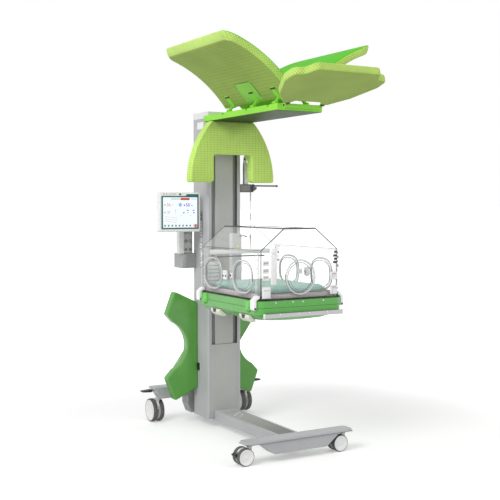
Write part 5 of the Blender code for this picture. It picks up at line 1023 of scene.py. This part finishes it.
# A face is lining or back where its normal leans this far in or out, and band near the tip.
FACES_IN, FACES_OUT, TIP_BAND, CORNER_PULL = -0.86, 0.45, 0.025, 0.97
HINGES = (-0.310, -0.074, 0.200)


def sewn(name, body, thread, across, along=None, width=0.0018, slanted=False, upright=False,
         top_shade=None):
    """Cover cloth over foam, sewn in lines across and along; it may take painted shade towards the
    top.
    """
    f = Finish(name)
    u, v, w = f.axes(f.place if upright else f.cloth)
    if upright:
        v = w
    if slanted:
        u, v = (u + v) * 0.7071, (u - v) * 0.7071
    wander = (f.noise(14.0, 1.0) - 0.5) * 0.0015
    seams = f.lines(u + wander, across, width)
    if along:
        seams = seams | f.lines(v + wander, along, width)
    weave = f.noise(900.0, 2.0)
    cloth = f.clouded(f.ramp(f.noise(5.0, 3.0), 0.3, 0.7), body, 0.93, 1.07)
    cloth = f.blend(f.ramp(weave, 0.3, 0.7, 0.0, 0.2), cloth, shade(body, 0.82))
    # Painted shade: above a height the cloth turns to a shade colour.
    if top_shade:
        low, high, top = top_shade
        cloth = f.blend(f.ramp(f.axes(f.place)[2], low, high), cloth, shade(top))
    worn = f.ramp(f.noise(22.0, 2.0), 0.35, 0.6, 0.45, 0.8)
    f.relief(weave * 0.12 - seams, 0.0012, 0.6)
    return f.mixed(Base_Color=f.blend(seams * worn, cloth, shade(thread)), Roughness=0.78,
                   Sheen_Weight=0.06, Sheen_Roughness=0.5, Specular_IOR_Level=0.25)


petal_lining = sewn("petal_lining", (160, 184, 92), (112, 140, 62), 0.022)
petal_rim = sewn("petal_rim", (198, 228, 118), (136, 172, 66), 0.0125, 0.0125, 0.0022,
                 slanted=True)
petal_back = sewn("petal_back", (94, 204, 34), (84, 186, 30), 0.120)
tip_band = sewn("tip_band", (196, 228, 122), (170, 205, 96), 0.060)


def on_petal(side, run, y, lift):
    """The point at a run along the lining from the root, and a lift off it."""
    angle = math.radians(ROOT_ANGLE) - run / PETAL_INSIDE
    reach = PETAL_INSIDE + lift
    return Vector((side * (PETAL_X + reach * math.cos(angle)), y,
                   PETAL_Z + reach * math.sin(angle)))


def from_petal(side, point):
    """The run, the y and the lift of a point of a petal."""
    rise, out = point.z - PETAL_Z, side * point.x - PETAL_X
    run = (math.radians(ROOT_ANGLE) - math.atan2(rise, out)) * PETAL_INSIDE
    return run, point.y, math.hypot(rise, out) - PETAL_INSIDE


def laid(name, side, runs, ys, lift, thick, material, edge):
    """A thin plate laid along a petal's lining."""
    piece = begun(name, bpy.ops.mesh.primitive_grid_add, x_subdivisions=10, y_subdivisions=2,
                  size=1.0)
    for vertex in piece.data.vertices:
        run = runs[0] + (vertex.co.x + 0.5) * (runs[1] - runs[0])
        vertex.co = on_petal(side, run, ys[0] + (vertex.co.y + 0.5) * (ys[1] - ys[0]), lift)
    worked(piece, "SOLIDIFY", thickness=thick, offset=side)
    piece.data.materials.append(material)
    return rounded_edges(piece, edge, 2)


def rolled_share(step, steps, most):
    """Where a grid line lies from a rolled edge: close together on the roll, then even."""
    if step < ROLL_STEPS:
        return ROLL * (1 - math.cos(math.radians(90 / ROLL_STEPS * step)))
    return ROLL + (most - ROLL) * (step - ROLL_STEPS) / (steps - ROLL_STEPS)


def lay_cloth(piece, flat):
    """Write the cloth's lie on every corner of every face."""
    cloth = piece.data.uv_layers.active or piece.data.uv_layers.new(name="cloth")
    for face in piece.data.polygons:
        points = [piece.data.vertices[i].co for i in face.vertices]
        for corner, spot in zip(face.loop_indices, flat(face, points)):
            cloth.data[corner].uv = spot


def side_petal(name, side):
    """A sheet laid on the arc with round corners at its tip, thickened and rolled over."""
    piece = begun(name, bpy.ops.mesh.primitive_grid_add, x_subdivisions=LONG_STEPS + CORNER_STEPS,
                  y_subdivisions=CROSS_STEPS, size=1.0)
    for vertex in piece.data.vertices:
        step = round((vertex.co.x + 0.5) * (LONG_STEPS + CORNER_STEPS))
        over = math.radians(90 * max(0, step - LONG_STEPS) / CORNER_STEPS)
        run = rolled_share(min(step, LONG_STEPS), LONG_STEPS, PETAL_SPAN - CORNER)
        half = PETAL_HALF - CORNER * (1 - math.cos(over)) * CORNER_PULL
        inward = CROSS_STEPS // 2 - round(abs(vertex.co.y) * CROSS_STEPS)
        y = math.copysign(half - rolled_share(inward, CROSS_STEPS // 2, half), vertex.co.y)
        vertex.co = on_petal(side, run + CORNER * math.sin(over), PETAL_MIDDLE + y, 0.0)
    worked(piece, "SOLIDIFY", thickness=PETAL_THICK, offset=side)
    for vertex in piece.data.vertices:
        run, y, lift = from_petal(side, vertex.co)
        beside, ahead = PETAL_HALF - abs(y - PETAL_MIDDLE), PETAL_SPAN - run
        inside = min(beside, ahead, run)
        if beside < CORNER and ahead < CORNER:
            inside = CORNER - math.hypot(CORNER - beside, CORNER - ahead)
        short = max(0.0, ROLL - max(inside, 0.0))
        roll = ROLL - math.sqrt(ROLL * ROLL - short * short)
        if lift > PETAL_THICK / 2:
            roll = PETAL_THICK - roll
        lean = max(0.0, 1 - ahead / TIP_LENGTH) ** 2 * roll / PETAL_THICK
        run += math.radians(TIP_LEAN) * PETAL_INSIDE * lean
        vertex.co = on_petal(side, run, y, roll)
    for material in (petal_lining, petal_rim, petal_back, tip_band):
        piece.data.materials.append(material)

    def lie(face, points):
        run, y, _ = from_petal(side, face.center)
        away = (on_petal(side, run, y, 0.1) - on_petal(side, run, y, 0.0)).normalized()
        up = face.normal.dot(away)
        face.material_index = LINING if up < FACES_IN else BACK if up > FACES_OUT else RIM
        at_tip = run > PETAL_SPAN - TIP_BAND and abs(face.normal.y) < 0.6
        if face.material_index == RIM and at_tip:
            face.material_index = TIP
        for run, y, lift in (from_petal(side, point) for point in points):
            yield (run, y) if face.material_index in (LINING, BACK) else \
                (run, lift) if abs(face.normal.y) > 0.5 else (y, lift)

    lay_cloth(piece, lie)
    smoothed(60)
    return piece


HINGE_X, HINGE_Z, EYE, BORE, ARM_HALF = 0.100, 1.927, 0.0098, 0.0056, 0.0098
NECK_ANGLE, NECK_HALF = 132, 0.0062
NECK = Matrix.Rotation(math.radians(NECK_ANGLE), 2)
ARM = arc((HINGE_X, HINGE_Z), EYE, NECK_ANGLE + 90, NECK_ANGLE + 270, 12)
ARM += [tuple(Vector((HINGE_X, HINGE_Z)) + NECK @ Vector((far, wide))) for far, wide in
        ((0.016, -NECK_HALF), (0.044, -NECK_HALF), (0.044, NECK_HALF), (0.016, NECK_HALF))]
# Painted shade: dark green plates stand for the shade in the slots where the arms pass into the
# lining, and a dark line for the shade in the plate's groove.
slot_shade = moulded("slot_shade", (44, 66, 34), 0.7)
# The plates of an arm on the lining: their runs, half width, lift, finish and edge.
ARM_PLATES = (("arm_strap", (0.001, 0.072), 0.0180, -0.0035, bridge_green, 0.0012),
              ("arm_slot", (0.071, 0.083), 0.0215, -0.0040, slot_shade, 0.0004),
              ("slot_lip", (0.084, 0.0865), 0.0225, -0.0046, tip_band, 0.0006))


def bored(piece, place, axis):
    """Drill a hinge pin's hole through a piece."""
    drill = turned("drill", [(BORE, -0.02), (BORE, 0.02)], place, axis, steps=24)
    worked(piece, "BOOLEAN", operation="DIFFERENCE", object=drill)
    bpy.data.objects.remove(drill, do_unlink=True)
    smoothed(40)
    return piece


plate_green = sewn("plate_green", (150, 214, 92), (140, 200, 84), 0.1)
GROOVE = ([(0.120, 0.030)] + arc((0.132, 0.012), 0.018, 90, 0, 6)
          + arc((0.132, -0.132), 0.018, 0, -90, 6) + [(0.040, -0.150)])
for name, side in SIDES:
    body = "petal_" + name
    shell = side_petal("petal_shell_" + name, side)
    fitted(shell, body, body)
    arms = []
    for y in HINGES:
        arm = board("petal_arm", [(side * x, z) for x, z in ARM], "Y", y - ARM_HALF, y + ARM_HALF,
                    bridge_green, edge=0.0012)
        arms.append(bored(arm, (side * HINGE_X, y, HINGE_Z), "Y"))
        arms += [laid(part, side, runs, (y - half, y + half), lift, 0.006, finish, edge)
                 for part, runs, half, lift, finish, edge in ARM_PLATES]
    fitted(joined("petal_arms_" + name, *arms), body)
    cover = laid("petal_plate_" + name, side, (0.018, 0.150), (-0.150, 0.030), -0.0012, 0.003,
                 plate_green, 0.001)
    groove = pipe("plate_groove", [on_petal(side, run, y, -0.0014) for run, y in GROOVE], 0.001,
                  slot_shade)
    fitted(joined("petal_plate_" + name, cover, groove), body)

# The front petal: a flat foam board over the bed's foot end, in the same sewn cover.
# It flares to two shoulders and a tongue, and two eyes at its root hold it to the bridge.
FRONT_PIVOT = (Matrix.Translation((0.0, -0.432, 1.903))
               @ Matrix.Rotation(math.radians(-16.5), 4, "X"))
FRONT_THICK, FRONT_ROLL = 0.043, 0.0115
FLAT_ENOUGH, ARC_SHARE = 0.80, 0.48


def rolled_board(name, outline, axis, low, high, roll, *materials):
    """A board whose two faces are inset and raised in steps, so that its rim is rolled over."""
    piece = board(name, outline, axis, low + roll, high - roll, *materials)
    w = PLANES[axis][2]
    for way in (-1, 1):
        only_face(piece, next(f for f in piece.data.polygons if f.normal[w] * way > 0.99
                              and len(f.vertices) > 8))
        for step in range(ROLL_STEPS):
            one, two = (math.radians(90 / ROLL_STEPS * k) for k in (step, step + 1))
            bpy.ops.mesh.inset(thickness=roll * (math.cos(one) - math.cos(two)),
                               depth=roll * (math.sin(two) - math.sin(one)))
        bpy.ops.object.mode_set(mode="OBJECT")
    smoothed(35)
    rim_mapped(piece, outline, PLANES[axis])
    return piece


def softened(corners, steps=6):
    """An outline whose corners (x, y, radius) are rounded by arcs."""
    outline = []
    for i, (x, y, radius) in enumerate(corners):
        if not radius:
            outline.append((x, y))
            continue
        here, back = Vector((x, y)), Vector(corners[i - 1][:2])
        ahead = Vector(corners[(i + 1) % len(corners)][:2])
        one, two = (back - here).normalized(), (ahead - here).normalized()
        half = one.angle(two) / 2
        pull = min(radius / math.tan(half), ARC_SHARE * (back - here).length,
                   ARC_SHARE * (ahead - here).length)
        hub = here + (one + two).normalized() * (pull / math.cos(half))
        first, last = here + one * pull - hub, here + two * pull - hub
        outline += [tuple(hub + first.slerp(last, k / steps).normalized() * first.length)
                    for k in range(steps + 1)]
    return outline


def rim_mapped(piece, outline, where):
    """Lay the cloth along the outline on the rim, and flat elsewhere."""
    u, v, w = where
    runs, total = [], 0.0
    for one, two in zip(outline, outline[1:] + outline[:1]):
        runs.append(total)
        total += math.dist(one, two)

    def run_at(point):
        spot = (point[u], point[v])
        return runs[min(range(len(outline)), key=lambda i: math.dist(outline[i], spot))]

    def lie(face, points):
        way = face.normal[w]
        face.material_index = LINING if way < -FLAT_ENOUGH else BACK if way > FLAT_ENOUGH else RIM
        if face.material_index != RIM:
            return [(point[u], point[v]) for point in points]
        around = [run_at(point) for point in points]
        if max(around) - min(around) > total / 2:
            around = [run + total if run < total / 2 else run for run in around]
        return [(run, point[w]) for run, point in zip(around, points)]

    lay_cloth(piece, lie)


HALF_FRONT = [(0.140, -0.024, 0.014), (0.225, -0.130, 0.080), (0.290, -0.290, 0.060),
              (0.284, -0.378, 0.035), (0.225, -0.384, 0.022), (0.190, -0.451, 0.030)]
BAY = [(0.098, -0.024, 0.014), (0.080, -0.054, 0.010)]
corners = HALF_FRONT + [(-x, y, r) for x, y, r in reversed(HALF_FRONT)]
corners += [(-x, y, r) for x, y, r in BAY] + BAY[::-1]
front = rolled_board("petal_front_pad", softened(corners), "Z", 0.0, FRONT_THICK, FRONT_ROLL,
                     petal_lining, petal_rim, petal_back)
front.data.transform(FRONT_PIVOT)
fitted(front, "petal_front", "petal_front")
joints = []
for x in (-0.110, 0.110):
    eye = turned("front_eye", [(EYE, -0.0095), (EYE, 0.0095)], (x, 0, 0), "X", bridge_green)
    joints += [bored(eye, (x, 0, 0), "X"),
               block("front_strap", (x - 0.009, -0.056, 0.0005), (x + 0.009, -0.0066, 0.0088),
                     bridge_green, 0.0012),
               block("front_joint", (x - 0.0094, -0.036, -0.004), (x + 0.0094, -0.018, 0.010),
                     black_plastic, 0.0012)]
    joints += [turned("joint_washer", [(0.0066, 0.0), (0.008, way * 0.0006),
                                       (0.0066, way * 0.0012)],
                      (x + way * 0.0088, 0, 0), "X", black_plastic, steps=24) for way in (-1, 1)]
joints = joined("front_joints", *joints)
joints.data.transform(FRONT_PIVOT)
fitted(joints, "petal_front")

# The arch: a foam board behind the bed in quilted cloth, hung under the bridge by a block.
# Its sides bow outward and its foot is notched round the column.
ARCH_FRONT, ARCH_BACK, ARCH_TOP, ARCH_LOW = 0.331, 0.396, 1.8777, 1.512
SHOULDER, FOOT, NOTCH, NOTCH_TOP = 0.145, 0.287, 0.130, 1.680
BOW_DEPTH, BOW_STEPS, ARCH_ROLL = 0.038, 16, 0.010
chord = Vector((FOOT - SHOULDER, ARCH_LOW - ARCH_TOP))
radius = chord.length ** 2 / (8 * BOW_DEPTH) + BOW_DEPTH / 2
spread = math.degrees(math.asin(chord.length / 2 / radius))
outward = Vector((-chord.y, chord.x)).normalized()
hub = Vector((SHOULDER, ARCH_TOP)) + chord / 2 - outward * (radius - BOW_DEPTH)
aim = math.degrees(math.atan2(outward.y, outward.x))
bow = arc(hub, radius, aim + spread, aim - spread, BOW_STEPS)
right = [(*bow[0], 0.016)] + [(x, z, 0.0) for x, z in bow[1:-1]]
right += [(FOOT, ARCH_LOW, 0.018), (NOTCH, ARCH_LOW, 0.020), (NOTCH, NOTCH_TOP, 0.020)]
arch_outline = softened(right + [(-x, z, r) for x, z, r in reversed(right)], 5)
# The arch's face is painted with shade near its top, under the bridge.
arch_face = sewn("arch_face", (194, 226, 116), (146, 182, 76), 0.022, 0.014, 0.0020,
                 upright=True, top_shade=(1.800, 1.880, (152, 182, 90)))
# Painted light: the rim is the face's cloth made lighter, as a side face that catches the lamp.
arch_rim_painted_light = sewn("arch_rim_painted_light", (206, 244, 124), (160, 200, 84), 0.014, 0.022)
arch = rolled_board("arch_pad", arch_outline, "Y", ARCH_FRONT, ARCH_BACK, ARCH_ROLL, arch_face,
                    arch_rim_painted_light, arch_face)
# The hanger sits below the bridge's underside, so its enamel is all painted shade.
hanger = block("arch_hanger", (-0.060, 0.390, 1.788), (0.060, 0.4455, 1.858), bridge_green, 0.003)
arch = joined("arch_pad", arch, hanger)
fitted(arch, "stand", "canopy_arch")

# The studio: a white floor that keeps the incubator's soft shadow, and a white surround.
# One broad lamp stands high at the left, and a weaker one fills the right side.
SKY_LEVEL = 0.52


def seen_or_mirrored(finish):
    """1 on rays from the camera, also off gloss and through glass, and 0 on other rays."""
    sight = [finish.node("LightPath", out="Is " + ray) for ray in
             ("Camera Ray", "Glossy Ray", "Transmission Ray")]
    return sight[0] | sight[1] | sight[2]


floor = begun("floor", bpy.ops.mesh.primitive_plane_add, size=400.0)
ground = Finish("studio_floor")
away = ground.node("VectorMath", {"operation": "LENGTH"}, (ground.place,), out="Value")
pale = ground.blend(ground.ramp(away, 1.4, 3.2), (0.32, 0.32, 0.32), (1.0, 1.0, 1.0))
floor.data.materials.append(ground.mixed(
    Base_Color=(0.86, 0.86, 0.86), Roughness=0.7, Specular_IOR_Level=0.1,
    Emission_Color=ground.blend(seen_or_mirrored(ground), (0.0, 0.0, 0.0), pale),
    Emission_Strength=1.0))
scene = bpy.context.scene
scene.world = bpy.data.worlds.new("studio")
sky = Finish("studio", scene.world, "Background")
sky.mixed(Color=(1.0, 1.0, 1.0), Strength=seen_or_mirrored(sky) * (1 - SKY_LEVEL) + SKY_LEVEL)


def lamp(name, place, target, size, power):
    """A square soft lamp aimed at a point."""
    bpy.ops.object.light_add(type="AREA", location=place)
    light = bpy.context.object
    light.name = name
    light.data.size = size
    light.data.energy = power
    light.rotation_euler = (Vector(target) - Vector(place)).to_track_quat("-Z", "Y").to_euler()


lamp("key", (-4.6, -1.9, 4.6), (0, 0, 1.0), 2.6, 190)
lamp("fill", (3.5, -4.5, 3.0), (0, 0, 1.1), 3.5, 60)
scene.view_settings.view_transform = "Standard"

bpy.context.view_layer.update()
